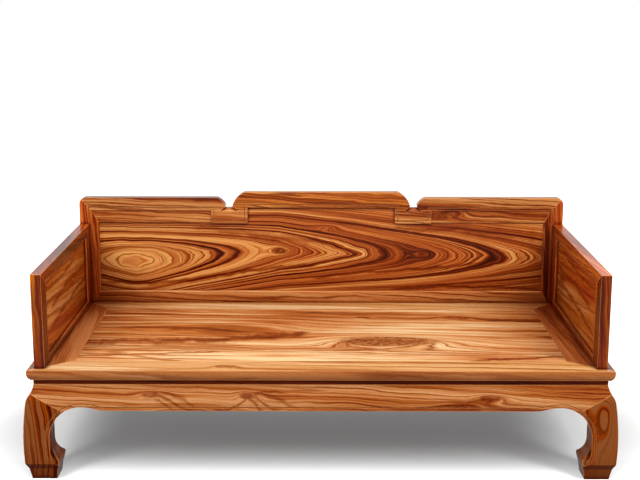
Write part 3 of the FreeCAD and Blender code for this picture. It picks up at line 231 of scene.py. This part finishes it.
def make_sky():
    """A sky that is white in the picture and lights the daybed from behind, and is dim elsewhere."""
    world = bpy.data.worlds.new("studio")
    bpy.context.scene.world = world
    world.use_nodes = True
    nodes = world.node_tree.nodes
    links = world.node_tree.links
    sky = nodes["Background"]
    sky.inputs["Color"].default_value = WHITE
    coordinates = nodes.new("ShaderNodeTexCoord")
    parts = nodes.new("ShaderNodeSeparateXYZ")
    behind = nodes.new("ShaderNodeMapRange")
    behind.interpolation_type = "SMOOTHSTEP"
    behind.inputs["From Min"].default_value, behind.inputs["From Max"].default_value = SKY_GROWS
    behind.inputs["To Min"].default_value, behind.inputs["To Max"].default_value = SKY_DIM, SKY_WHITE
    path = nodes.new("ShaderNodeLightPath")
    brightest = nodes.new("ShaderNodeMath")
    brightest.operation = "MAXIMUM"
    links.new(coordinates.outputs["Generated"], parts.inputs[0])
    links.new(parts.outputs["Y"], behind.inputs["Value"])
    links.new(behind.outputs[0], brightest.inputs[0])
    links.new(path.outputs["Is Camera Ray"], brightest.inputs[1])
    links.new(brightest.outputs[0], sky.inputs["Strength"])


def make_studio():
    make_floor()
    make_sky()
    area_light("softbox", SOFTBOX_PLACE, SOFTBOX_TARGET, SOFTBOX_SIZE, SOFTBOX_POWER)
    for side, (place, power) in KEYS.items():
        area_light("key_" + side, place, KEY_TARGET, KEY_SIZE, power)
    bpy.context.scene.view_settings.view_transform = "Standard"


# Rosewood

AXES = "XYZ"

# Four tones of each timber, from its dark lines to its lightest wood, and the levels that show them. Most of
# them were worked out by a scratch script that set the render's brightness steps against the photo's.
TONES = {
    # The palest stops, of the seat and rails most of all, are partly the wood's light figure and partly
    # painted sheen
    "panel": ((53, 6, 1), (109, 41, 10), (144, 77, 30), (172, 123, 67)),
    "seat": ((66, 11, 1), (138, 73, 28), (167, 117, 72), (185, 156, 115)),
    "frame": ((63, 14, 2), (110, 40, 6), (136, 58, 13), (162, 83, 28)),
    "side": ((106, 18, 3), (138, 50, 8), (146, 75, 16), (168, 108, 56)),
    "base": ((48, 7, 1), (94, 37, 9), (120, 67, 27), (138, 96, 60)),
    "leg": ((57, 17, 0), (102, 40, 1), (94, 50, 21), (96, 52, 23)),
    "dark": ((57, 2, 0), (84, 17, 0), (101, 44, 1), (166, 90, 6)),
    "shoulder": ((57, 9, 1), (86, 24, 2), (114, 54, 16), (144, 94, 50)),
    "strip": ((69, 14, 1), (110, 46, 12), (134, 74, 31), (154, 106, 58)),
    "bottom": ((58, 12, 3), (122, 61, 22), (147, 88, 44), (152, 102, 58)),
    "crest": ((89, 30, 2), (138, 72, 22), (152, 98, 42), (164, 126, 70)),
    "rail": ((123, 69, 36), (158, 112, 61), (166, 124, 80), (181, 155, 118)),
    # The seat end rails' tones are darker than the seat's, partly the wood's own tone and partly painted
    # shade from the side railings
    "end": ((84, 32, 11), (116, 54, 20), (138, 74, 34), (158, 98, 54)),
    # The waist's tones are far darker than the apron's: painted shade under the overhang of the seat frame
    "waist": ((15, 0, 0), (36, 4, 0), (72, 18, 0), (46, 4, 0)),
}
TONE_LEVELS = (0.28, 0.42, 0.56, 0.72)
BROAD_SHARE = 0.3
BANDS_SHARE = 0.32
THREADS_SHARE = 0.28
FIBRES_SHARE = 0.1
# Dark colour for faces that look down: painted shade, which also cuts the light that they bounce onto the
# floor
PAINTED_UNDERSIDE_SHADE = linear(52, 30, 20)
SHINE = linear(255, 205, 150)
# The light colour painted along edges: a painted highlight
EDGE_HIGHLIGHT = linear(200, 128, 70)

# Noise stays in this range nearly everywhere
NOISE_RANGE = (0.3, 0.7)

# Noise along the growth lines: scale across them, scale along the timber, shift to a place of its own, detail
BROAD = (9.0, 0.6, 41.0, 1.0)
BANDS = (30.0, 0.8, 0.0, 2.0)
THREADS = (120.0, 1.8, 7.0, 3.0)
FIBRES = (560.0, 7.0, 13.0, 2.0)
WILD_LINES = (34.0, 0.7, 21.0, 1.0)
WILD_PLACES = (9.0, 1.5, 33.0, 1.0)

# The same for the thin lines, with the scale across them for a spacing of one
THIN_PHASE = (0.3, 0.8, 55.0, 1.0)
THIN_PLACES = (0.12, 1.1, 61.0, 1.0)

# Noise in the timber's own directions: scale along it, scale across and through it, detail
WANDER = (1.3, 3.0, 1.0)
RIPPLE = (9.0, 30.0, 2.0)
PORES = (70.0, 1400.0, 1.0)

# Strength of the lines: the noise or wave that it follows, from and to, and the strength there
THIN_WIDTH = (0.55, 1.0)
THIN_STRENGTH = (0.42, 0.6, 0.1, 0.8)
THIN_PHASE_SWING = 7.0
WILD_WIDTH = 0.04
WILD_STRENGTH = (0.42, 0.62, 0.0, 0.8)
RING_FAINTEST = 0.6
STREAK_FAINTEST = 0.8
STREAK_FADE = 0.06
STREAK_WANDER = (22.0, 12.0)
STREAK_WOBBLE = 3
STREAK_THREADS = 0.3
RIPPLE_SWELL = 0.02

# The dark middle of a knot: its size against the knot's, its edge, and the scales and levels of its mottle
KNOT_CORE = 0.7
KNOT_EDGE = (0.15, 0.6)
MOTTLE_SCALES = (45.0, 60.0)
MOTTLE_LEVELS = (0.35, 0.6, 0.45, 1.0)

PORE_LEVELS = (0.62, 0.7)
PORE_STAIN = 0.3

# Painted shade where the surface is closed in: within what distance, samples, and how open it is at full
# shade and at none. The deep one darkens the corners by the side railings and the back, the seam one the
# seams, grooves and recesses such as the waist.
DEEP_SHADE = (0.5, 10, 0.24, 0.51)
SEAM_SHADE = (0.018, 6, 0.35, 0.9)

# Axis and how far a face looks down it where the painted shade of undersides and of front faces begins, and
# where it is full
UNDERSIDE = ("Z", -0.6, -0.9)
FRONT_FACE = ("Y", -0.1, -0.7)

# The painted highlight along edges: the radius of the rounding that finds them, how far the rounded surface
# turns from the true one where it begins and where it is full, and its share
EDGE_HIGHLIGHT_RADIUS = 0.004
EDGE_HIGHLIGHT_TURN = (0.99, 0.86)
EDGE_HIGHLIGHT_SHARE = 0.5
ROUNDING = 0.0016
BEVEL_SAMPLES = 4
ROUGHNESS = (0.28, 0.2)
COAT_SHARE = 5
COAT_ROUGHNESS = 0.18
BUMP_STRENGTH = 0.15
BUMP_HEIGHT = 0.0004

# How far apart the seeds of two timbers are in their noise, and the seeds of the timbers in turn
SEED_REACH = 10
SEED_FIRST = 1.3
SEED_STEP = 3.7


@dataclass
class Knot:
    """A knot at a place along and across: its reach left, right and across, its swelling and its darkness."""

    along: float
    across: float
    left: float
    right: float
    spread: float
    swell: float
    dark: float = 0.0


@dataclass
class Grain:
    """How timber lies: the axes along and across it, the seed of its noise and the name of its tones.

    Its growth lines are where a sum stays the same: lean along the timber, slope and curve across it, depth
    through it. Heart is the line that the curve is centred on. Lean is a slope or stops of (place, sum), and
    heart a place across or stops of (place, place across). Wave is how far the growth lines wander. Knots
    swell the sum and darken it, streaks are dark lines of (stops, width, strength), and rings are the sums
    of dark growth lines with their widths. Fineness is how many bands and fibres there are, against the most
    usual number. Spacing is the sum from one thin dark line to the next, and lines is how dark these are.
    Shades are stops of (sum, lighter or darker) in place of chance ones. Polish is how much the timber
    mirrors, front shade how much painted shade darkens its front face, and shaded underside says that its
    faces that look down get painted shade.
    """

    along: str
    across: str
    seed: float
    tone: str
    lean: float | tuple = 0.06
    slope: float = 1.0
    curve: float = 0.0
    heart: float | tuple = 0.0
    depth: float = 0.8
    wave: float = 0.02
    knots: tuple = ()
    streaks: tuple = ()
    rings: tuple = ()
    fineness: float = 1.0
    spacing: float = 0.022
    lines: float = 1.0
    shades: tuple = ()
    polish: float = 0.2
    edge: float = 0.0
    shaded_underside: bool = False


class Timber(Tree):
    """The shader of one timber: a, b and c are the places along, across and through it."""

    def __init__(self, name, grain):
        super().__init__(name)
        self.grain = grain
        through = [axis for axis in AXES if axis not in (grain.along, grain.across)][0]
        self.a, self.b, self.c = [self.place(axis) for axis in (grain.along, grain.across, through)]
        self.seeded = self.plus(self.a, grain.seed * SEED_REACH)
        self.ring = self.growth()
        self.bands = self.stretch(self.figure(BANDS), *NOISE_RANGE)
        self.threads = self.stretch(self.figure(THREADS), *NOISE_RANGE)
        self.fibres = self.stretch(self.figure(FIBRES), *NOISE_RANGE)

    def by_stops(self, value, stops):
        """The length that straight runs between stops of (value, length) give."""
        places = [place for place, _ in stops]
        reach = max(abs(length) for _, length in stops)
        low, high = min(places), max(places)
        greys = [((place - low) / (high - low), [0.5 + length / reach / 2] * 3 + [1.0])
                 for place, length in stops]
        return self.times(self.minus(self.ramp(self.stretch(value, low, high), greys), 0.5), reach * 2)

    def cloud(self, start, kind):
        """Noise in the timber's own directions."""
        along, across, detail = kind
        place = self.vector(self.times(start, along), self.times(self.b, across), self.times(self.c, across))
        return self.noise(place, detail)

    def figure(self, kind, spacing=1.0):
        """Noise drawn out along the growth lines."""
        across, along, shift, detail = kind
        place = self.vector(self.times(self.ring, across / spacing * self.grain.fineness),
                            self.times(self.seeded, along), self.plus(self.c, shift))
        return self.noise(place, detail)

    def knot_hump(self, knot, size=1.0):
        """A hump over a knot, one at its middle, on a share of its own size."""
        from_a = self.minus(self.a, knot.along)
        is_right = self.math("GREATER_THAN", from_a, 0.0)
        share = self.stretch(is_right, 0.0, 1.0, 1 / (knot.left * size), 1 / (knot.right * size))
        across = self.times(self.minus(self.b, knot.across), 1 / (knot.spread * size))
        return self.times(self.hump(self.times(from_a, share)), self.hump(across))

    def growth(self):
        """The sum that is the same all along one growth line."""
        grain = self.grain
        has_bends = isinstance(grain.lean, tuple)
        total = self.by_stops(self.a, grain.lean) if has_bends else self.times(self.a, grain.lean)
        heart = self.by_stops(self.a, grain.heart) if isinstance(grain.heart, tuple) else grain.heart
        off = self.minus(self.b, heart)
        off = self.plus(off, self.times(self.minus(self.cloud(self.seeded, WANDER), 0.5), grain.wave * 2))
        total = self.plus(total, self.times(off, grain.slope))
        if grain.curve:
            total = self.plus(total, self.times(self.squared(off), grain.curve))
        total = self.plus(total, self.times(self.c, grain.depth))
        for knot in grain.knots:
            total = self.minus(total, self.times(self.knot_hump(knot), knot.swell))
        return self.plus(total, self.times(self.minus(self.cloud(self.seeded, RIPPLE), 0.5), RIPPLE_SWELL))

    def tone(self):
        """The timber's own colour, from broad bands down to fibres."""
        if self.grain.shades:
            broad = self.plus(self.by_stops(self.ring, self.grain.shades), 0.5)
        else:
            broad = self.stretch(self.figure(BROAD), *NOISE_RANGE)
        coarse = self.plus(self.times(broad, BROAD_SHARE), self.times(self.bands, BANDS_SHARE))
        fine = self.plus(self.times(self.threads, THREADS_SHARE), self.times(self.fibres, FIBRES_SHARE))
        tones = [linear(*tone) for tone in TONES[self.grain.tone]]
        return self.ramp(self.plus(coarse, fine), list(zip(TONE_LEVELS, tones)))

    def thin_lines(self):
        """Thin dark lines at an even spacing of growth, strong in some places and faint in others."""
        spacing = self.grain.spacing
        phase = self.times(self.figure(THIN_PHASE, spacing), THIN_PHASE_SWING)
        swing = self.math("SINE", self.plus(self.times(self.ring, math.tau / spacing), phase))
        strong = self.stretch(self.figure(THIN_PLACES, spacing), *THIN_STRENGTH)
        return self.times(self.times(self.stretch(swing, *THIN_WIDTH, soft=True), strong), self.grain.lines)

    def wild_lines(self):
        """Fine lines that come and go, where noise crosses its own middle."""
        ridge = self.math("ABSOLUTE", self.minus(self.figure(WILD_LINES), 0.5))
        low, high, faintest, strongest = WILD_STRENGTH
        strong = self.stretch(self.figure(WILD_PLACES), low, high, faintest, strongest * self.grain.lines)
        return self.times(self.stretch(ridge, 0.0, WILD_WIDTH, 1.0, 0.0, soft=True), strong)

    def dark_ring(self, place, width):
        """One dark growth line."""
        near = self.hump(self.times(self.minus(self.ring, place), 1 / width))
        return self.times(near, self.stretch(self.bands, 0.0, 1.0, 1.0, RING_FAINTEST))

    def streak(self, line, width, strength):
        """A dark line through stops, fading out at both ends."""
        along, across = STREAK_WANDER
        place = self.vector(self.times(self.a, along), self.times(self.b, across), self.c)
        wobble = self.plus(self.minus(self.noise(place), 0.5),
                           self.times(self.minus(self.threads, 0.5), STREAK_THREADS))
        off = self.plus(self.minus(self.b, self.by_stops(self.a, line)),
                        self.times(wobble, width * STREAK_WOBBLE))
        start, end = line[0][0], line[-1][0]
        fade = min(STREAK_FADE, (end - start) / 3)
        ends = self.times(self.stretch(self.a, start, start + fade, soft=True),
                          self.stretch(self.a, end - fade, end, 1.0, 0.0, soft=True))
        strong = self.stretch(self.threads, 0.0, 1.0, strength, strength * STREAK_FAINTEST)
        return self.times(self.times(self.hump(self.times(off, 1 / width)), ends), strong)

    def knot_core(self, knot):
        """The dark mottled middle of a knot."""
        along, across = MOTTLE_SCALES
        place = self.vector(self.times(self.a, along), self.times(self.b, across), self.ring)
        mottle = self.stretch(self.noise(place), *MOTTLE_LEVELS)
        inside = self.stretch(self.knot_hump(knot, KNOT_CORE), *KNOT_EDGE, soft=True)
        return self.times(self.times(inside, mottle), knot.dark)

    def ink(self):
        """How far the timber's dark lines and the middles of its knots cover it."""
        marks = [self.thin_lines(), self.wild_lines()]
        marks += [self.dark_ring(*ring) for ring in self.grain.rings]
        marks += [self.streak(*streak) for streak in self.grain.streaks]
        marks += [self.knot_core(knot) for knot in self.grain.knots if knot.dark]
        cover = marks[0]
        for mark in marks[1:]:
            cover = self.math("MAXIMUM", cover, mark)
        return cover

    def pores(self):
        return self.stretch(self.cloud(self.a, PORES), *PORE_LEVELS)

    def rounded(self, radius):
        """The surface's direction with its edges rounded over."""
        node = self.nodes.new("ShaderNodeBevel")
        node.samples = BEVEL_SAMPLES
        node.inputs["Radius"].default_value = radius
        return node.outputs[0]

    def edge_highlight(self):
        """Painted highlight: one along the timber's edges, nothing away from them."""
        geometry = self.nodes.new("ShaderNodeNewGeometry")
        product = self.nodes.new("ShaderNodeVectorMath")
        product.operation = "DOT_PRODUCT"
        self.links.new(self.rounded(EDGE_HIGHLIGHT_RADIUS), product.inputs[0])
        self.links.new(geometry.outputs["True Normal"], product.inputs[1])
        return self.stretch(product.outputs["Value"], *EDGE_HIGHLIGHT_TURN)

    def facing(self, axis, low, high):
        """One on faces that look far enough down an axis."""
        geometry = self.nodes.new("ShaderNodeNewGeometry")
        parts = self.nodes.new("ShaderNodeSeparateXYZ")
        self.links.new(geometry.outputs["Normal"], parts.inputs[0])
        return self.stretch(parts.outputs[axis], low, high)

    def shaded(self, colour, distance, samples, closed, clear):
        """The colour with painted shade where the surface is closed in."""
        node = self.nodes.new("ShaderNodeAmbientOcclusion")
        node.samples = samples
        node.inputs["Distance"].default_value = distance
        return self.stain_and_shade(self.stretch(node.outputs["AO"], closed, clear, 1.0, 0.0), colour)

    def colour(self, pore):
        """The timber's tone under its pores and dark lines, then painted shade on its undersides and front
        faces, a painted highlight on its edges and painted shade where it is closed in.
        """
        grain = self.grain
        colour = self.stain_and_shade(self.ink(), self.stain_and_shade(self.times(pore, PORE_STAIN), self.tone()))
        # Painted shade on faces that look down, then on the front faces of the seat rails
        if grain.shaded_underside:
            colour = self.mix(self.facing(*UNDERSIDE), colour, PAINTED_UNDERSIDE_SHADE)
        if grain.edge:
            colour = self.stain_and_shade(self.times(self.facing(*FRONT_FACE), grain.edge), colour)
        # Painted highlight along the edges
        colour = self.mix(self.times(self.edge_highlight(), EDGE_HIGHLIGHT_SHARE), colour, EDGE_HIGHLIGHT)
        # Painted shade in the corners by the side railings and the back, then in seams, grooves and recesses
        return self.shaded(self.shaded(colour, *DEEP_SHADE), *SEAM_SHADE)


def rosewood(name, grain):
    """Polished rosewood: bands, threads and fibres along its growth lines, with pores and dark lines."""
    timber = Timber(name, grain)
    pore = timber.pores()
    inputs = timber.shader.inputs
    timber.links.new(timber.colour(pore), inputs["Base Color"])
    timber.links.new(timber.stretch(timber.threads, 0.0, 1.0, *ROUGHNESS), inputs["Roughness"])
    inputs["Specular IOR Level"].default_value = grain.polish
    inputs["Specular Tint"].default_value = SHINE
    inputs["Coat Weight"].default_value = grain.polish / COAT_SHARE
    inputs["Coat Roughness"].default_value = COAT_ROUGHNESS
    bump = timber.nodes.new("ShaderNodeBump")
    bump.inputs["Strength"].default_value = BUMP_STRENGTH
    bump.inputs["Distance"].default_value = BUMP_HEIGHT
    timber.links.new(timber.minus(timber.fibres, pore), bump.inputs["Height"])
    timber.links.new(timber.rounded(ROUNDING), bump.inputs["Normal"])
    timber.links.new(bump.outputs[0], inputs["Normal"])
    return timber.material


# The figure of the back panel: its whorl and rings close round the heart, at places along X and up Z

PANEL_SEED = 7.0
PANEL_CURVE = 14.0
PANEL_LEAN = ((-0.95, 0.05), (-0.84, 0.012), (-0.783, 0.005), (-0.72, 0.016), (-0.6, 0.064), (0.95, 0.61))
PANEL_HEART = ((-0.95, 0.6), (-0.783, 0.586), (-0.357, 0.617), (-0.18, 0.631), (0.18, 0.622), (0.74, 0.604),
               (0.95, 0.6))
PANEL_KNOTS = (
    Knot(-0.18, 0.631, 0.04, 0.055, 0.02, 0.04, 1.0),
    Knot(0.44, 0.615, 0.05, 0.04, 0.022, 0.04, 1.0),
    Knot(0.02, 0.735, 0.05, 0.07, 0.014, 0.06),
    Knot(0.17, 0.62, 0.2, 0.03, 0.02, 0.02),
)
PANEL_RINGS = ((0.02, 0.0013), (0.036, 0.0016), (0.053, 0.002), (0.079, 0.002), (0.122, 0.005),
               (0.149, 0.007), (0.206, 0.003), (0.307, 0.004), (0.338, 0.003), (0.37, 0.005), (0.5, 0.003),
               (0.53, 0.005), (0.547, 0.005))
PANEL_SHADES = ((-0.02, 1.1), (0.02, 0.6), (0.05, 0.3), (0.105, 0.4), (0.122, -0.5), (0.134, 0.5),
                (0.15, -0.4), (0.168, 0.6), (0.205, 0.3), (0.228, -0.5), (0.245, 0.2), (0.29, 0.5),
                (0.31, -0.1), (0.325, 0.4), (0.34, -0.2), (0.355, 0.3), (0.372, -0.4), (0.39, 0.2),
                (0.427, -0.6), (0.45, 0.2), (0.49, 0.1), (0.515, -0.5), (0.55, -0.6), (0.565, 0.3),
                (0.6, 0.5), (0.68, -0.2), (0.76, 0.2))
PANEL_STREAKS = (
    (((-0.94, 0.5), (-0.72, 0.49), (-0.54, 0.504), (-0.31, 0.546), (0.0, 0.575)), 0.008, 0.95),
    (((-0.06, 0.511), (0.18, 0.537), (0.46, 0.555), (0.68, 0.58)), 0.0065, 0.9),
    (((-0.56, 0.738), (-0.24, 0.697), (0.06, 0.662)), 0.012, 0.6),
    (((0.03, 0.764), (0.25, 0.727), (0.46, 0.7195), (0.62, 0.73)), 0.008, 0.7),
    (((0.56, 0.72), (0.94, 0.695)), 0.02, 0.45),
    (((0.28, 0.457), (0.51, 0.479), (0.96, 0.466)), 0.007, 0.85),
)

# The figure of the seat, at places along X and Y: the boards share it, as if cut from one log

SEAT_SEED = 2.0
SEAT_KNOTS = (
    Knot(0.214, -0.13, 0.2, 0.32, 0.085, 0.17, 1.0),
    Knot(0.551, 0.2065, 0.09, 0.09, 0.035, 0.05, 0.5),
    Knot(0.165, 0.21, 0.04, 0.05, 0.018, 0.02, 0.8),
    Knot(-0.3, 0.1, 0.7, 0.25, 0.1, 0.1),
)
SEAT_RINGS = ((0.05, 0.003), (0.068, 0.0035), (0.088, 0.003), (0.112, 0.0025))
SEAT_STREAKS = (
    (((-0.98, -0.155), (-0.6, -0.125), (-0.37, -0.1), (-0.2, -0.06), (-0.03, -0.02)), 0.032, 1.0),
    (((-0.95, -0.32), (-0.78, -0.31), (-0.6, -0.29), (-0.35, -0.27)), 0.008, 0.8),
    (((0.52, -0.37), (0.7, -0.35), (0.95, -0.31)), 0.012, 1.0),
)

# The figure of the other timbers, at places along and across them

SIDE_STREAKS = (
    (((-0.36, 0.49), (-0.1, 0.52), (0.2, 0.535), (0.42, 0.53)), 0.008, 0.7),
    (((-0.3, 0.575), (0.0, 0.6), (0.25, 0.59), (0.42, 0.6)), 0.01, 0.6),
    (((-0.4, 0.665), (-0.1, 0.65), (0.2, 0.665)), 0.007, 0.6),
)
BLOCK_SHADES = ((0.0, 0.1), (1.0, 0.1))
KNOTS = {
    "back_right_top_strip": (
        Knot(0.545, 0.795, 0.06, 0.06, 0.014, 0.035, 0.8),
    ),
    "front_apron": (
        Knot(-0.6, 0.316, 0.05, 0.05, 0.013, 0.03, 0.7),
        Knot(-0.262, 0.312, 0.04, 0.06, 0.013, 0.035, 0.8),
        Knot(-0.46, 0.262, 0.16, 0.14, 0.03, 0.05),
        Knot(0.518, 0.278, 0.12, 0.06, 0.016, 0.04, 0.6),
        Knot(0.595, 0.306, 0.05, 0.07, 0.014, 0.035, 0.8),
    ),
    "front_waist": (
        Knot(0.67, 0.352, 0.04, 0.04, 0.006, 0.01, 0.8),
    ),
    "front_right_leg": (
        Knot(0.26, 1.015, 0.14, 0.07, 0.04, 0.075),
    ),
    "seat_front_rail": (
        Knot(-0.344, -0.45, 0.05, 0.06, 0.025, 0.04, 0.6),
    ),
}
APRON_STREAKS = (
    (((-0.64, 0.318), (-0.57, 0.312), (-0.53, 0.296), (-0.49, 0.272), (-0.44, 0.258), (-0.38, 0.262)),
     0.005, 0.7),
    (((-0.61, 0.306), (-0.57, 0.298), (-0.54, 0.276), (-0.5, 0.256)), 0.004, 0.6),
    (((-0.6, 0.322), (-0.54, 0.318), (-0.48, 0.3), (-0.45, 0.28), (-0.41, 0.272)), 0.007, 0.45),
    (((-0.3, 0.316), (-0.265, 0.312), (-0.235, 0.292), (-0.215, 0.264), (-0.19, 0.25)), 0.007, 0.7),
    (((-0.28, 0.318), (-0.23, 0.308), (-0.2, 0.288), (-0.17, 0.268), (-0.13, 0.26)), 0.005, 0.7),
    (((-0.27, 0.322), (-0.2, 0.318), (-0.15, 0.3), (-0.11, 0.28), (-0.06, 0.272)), 0.006, 0.5),
    (((-0.4, 0.262), (-0.33, 0.266), (-0.29, 0.285), (-0.255, 0.308), (-0.2, 0.326), (-0.1, 0.318)),
     0.004, 0.7),
    (((0.38, 0.268), (0.46, 0.27), (0.52, 0.292), (0.58, 0.308), (0.68, 0.31)), 0.006, 0.6),
    (((0.42, 0.3), (0.5, 0.292), (0.58, 0.27), (0.68, 0.266)), 0.006, 0.5),
)


def back_tone(node):
    """The tones of a long timber of the back railing."""
    if node == "back_bottom_rail":
        return "bottom"
    if node == "back_crest_rail":
        return "crest"
    return "strip" if "strip" in node else "shoulder"


def grain_of(node, seed):
    """The way the timber of a node lies, from its name."""
    knots = KNOTS.get(node, ())
    if node == "back_panel":
        return Grain("X", "Z", PANEL_SEED, "panel", lean=PANEL_LEAN, slope=0.0, curve=PANEL_CURVE,
                     heart=PANEL_HEART, depth=0.0, wave=0.009, knots=PANEL_KNOTS, streaks=PANEL_STREAKS,
                     rings=PANEL_RINGS, fineness=1.3, spacing=0.0115, shades=PANEL_SHADES)
    if node.endswith("railing_panel"):
        return Grain("Y", "Z", seed, "side", lean=0.08, wave=0.012, streaks=SIDE_STREAKS, fineness=0.45,
                     spacing=0.05, lines=0.6)
    if node.startswith("seat_board"):
        return Grain("X", "Y", SEAT_SEED, "seat", knots=SEAT_KNOTS, streaks=SEAT_STREAKS, rings=SEAT_RINGS,
                     fineness=0.22, spacing=0.05, lines=0.7, shaded_underside=True)
    if node in ("seat_front_rail", "seat_rear_rail"):
        return Grain("X", "Y", seed, "rail", knots=knots, fineness=0.6, spacing=0.05, lines=0.35, edge=0.5,
                     shaded_underside=True)
    if node in ("seat_left_rail", "seat_right_rail"):
        return Grain("Y", "X", seed, "end", fineness=0.7, lines=0.3, shaded_underside=True)
    if node.endswith("leg"):
        return Grain("Z", "X", seed, "leg", knots=knots, polish=0.02)
    if node.endswith(("apron", "waist")):
        along = "X" if node.startswith(("front", "rear")) else "Y"
        tone = "base" if node.endswith("apron") else "waist"
        streaks = APRON_STREAKS if node == "front_apron" else ()
        return Grain(along, "Z", seed, tone, wave=0.03, knots=knots, streaks=streaks, lines=0.7, polish=0.06,
                     shaded_underside=True)
    is_side_strip = node.endswith("strip") and "top" not in node
    if node.endswith("stile") or is_side_strip:
        across = "X" if node.startswith("back") else "Y"
        return Grain("Z", across, seed, "dark" if "front_stile" in node else "frame")
    if "railing" in node:
        return Grain("Y", "Z", seed, "frame")
    if node.startswith("back_panel_batten"):
        return Grain("Z", "X", seed, "frame")
    if node.startswith("seat_batten"):
        return Grain("Y", "X", seed, "frame", shaded_underside=True)
    if node.endswith("step_block"):
        return Grain("X", "Z", seed, "strip", shades=BLOCK_SHADES)
    return Grain("X", "Z", seed, back_tone(node), knots=knots)


def dress():
    for number, node in enumerate(sorted(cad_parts)):
        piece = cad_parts[node]
        grain = grain_of(node, SEED_STEP * number + SEED_FIRST)
        piece.data.materials.clear()
        piece.data.materials.append(rosewood("rosewood_" + node, grain))


make_camera()
make_studio()
dress()
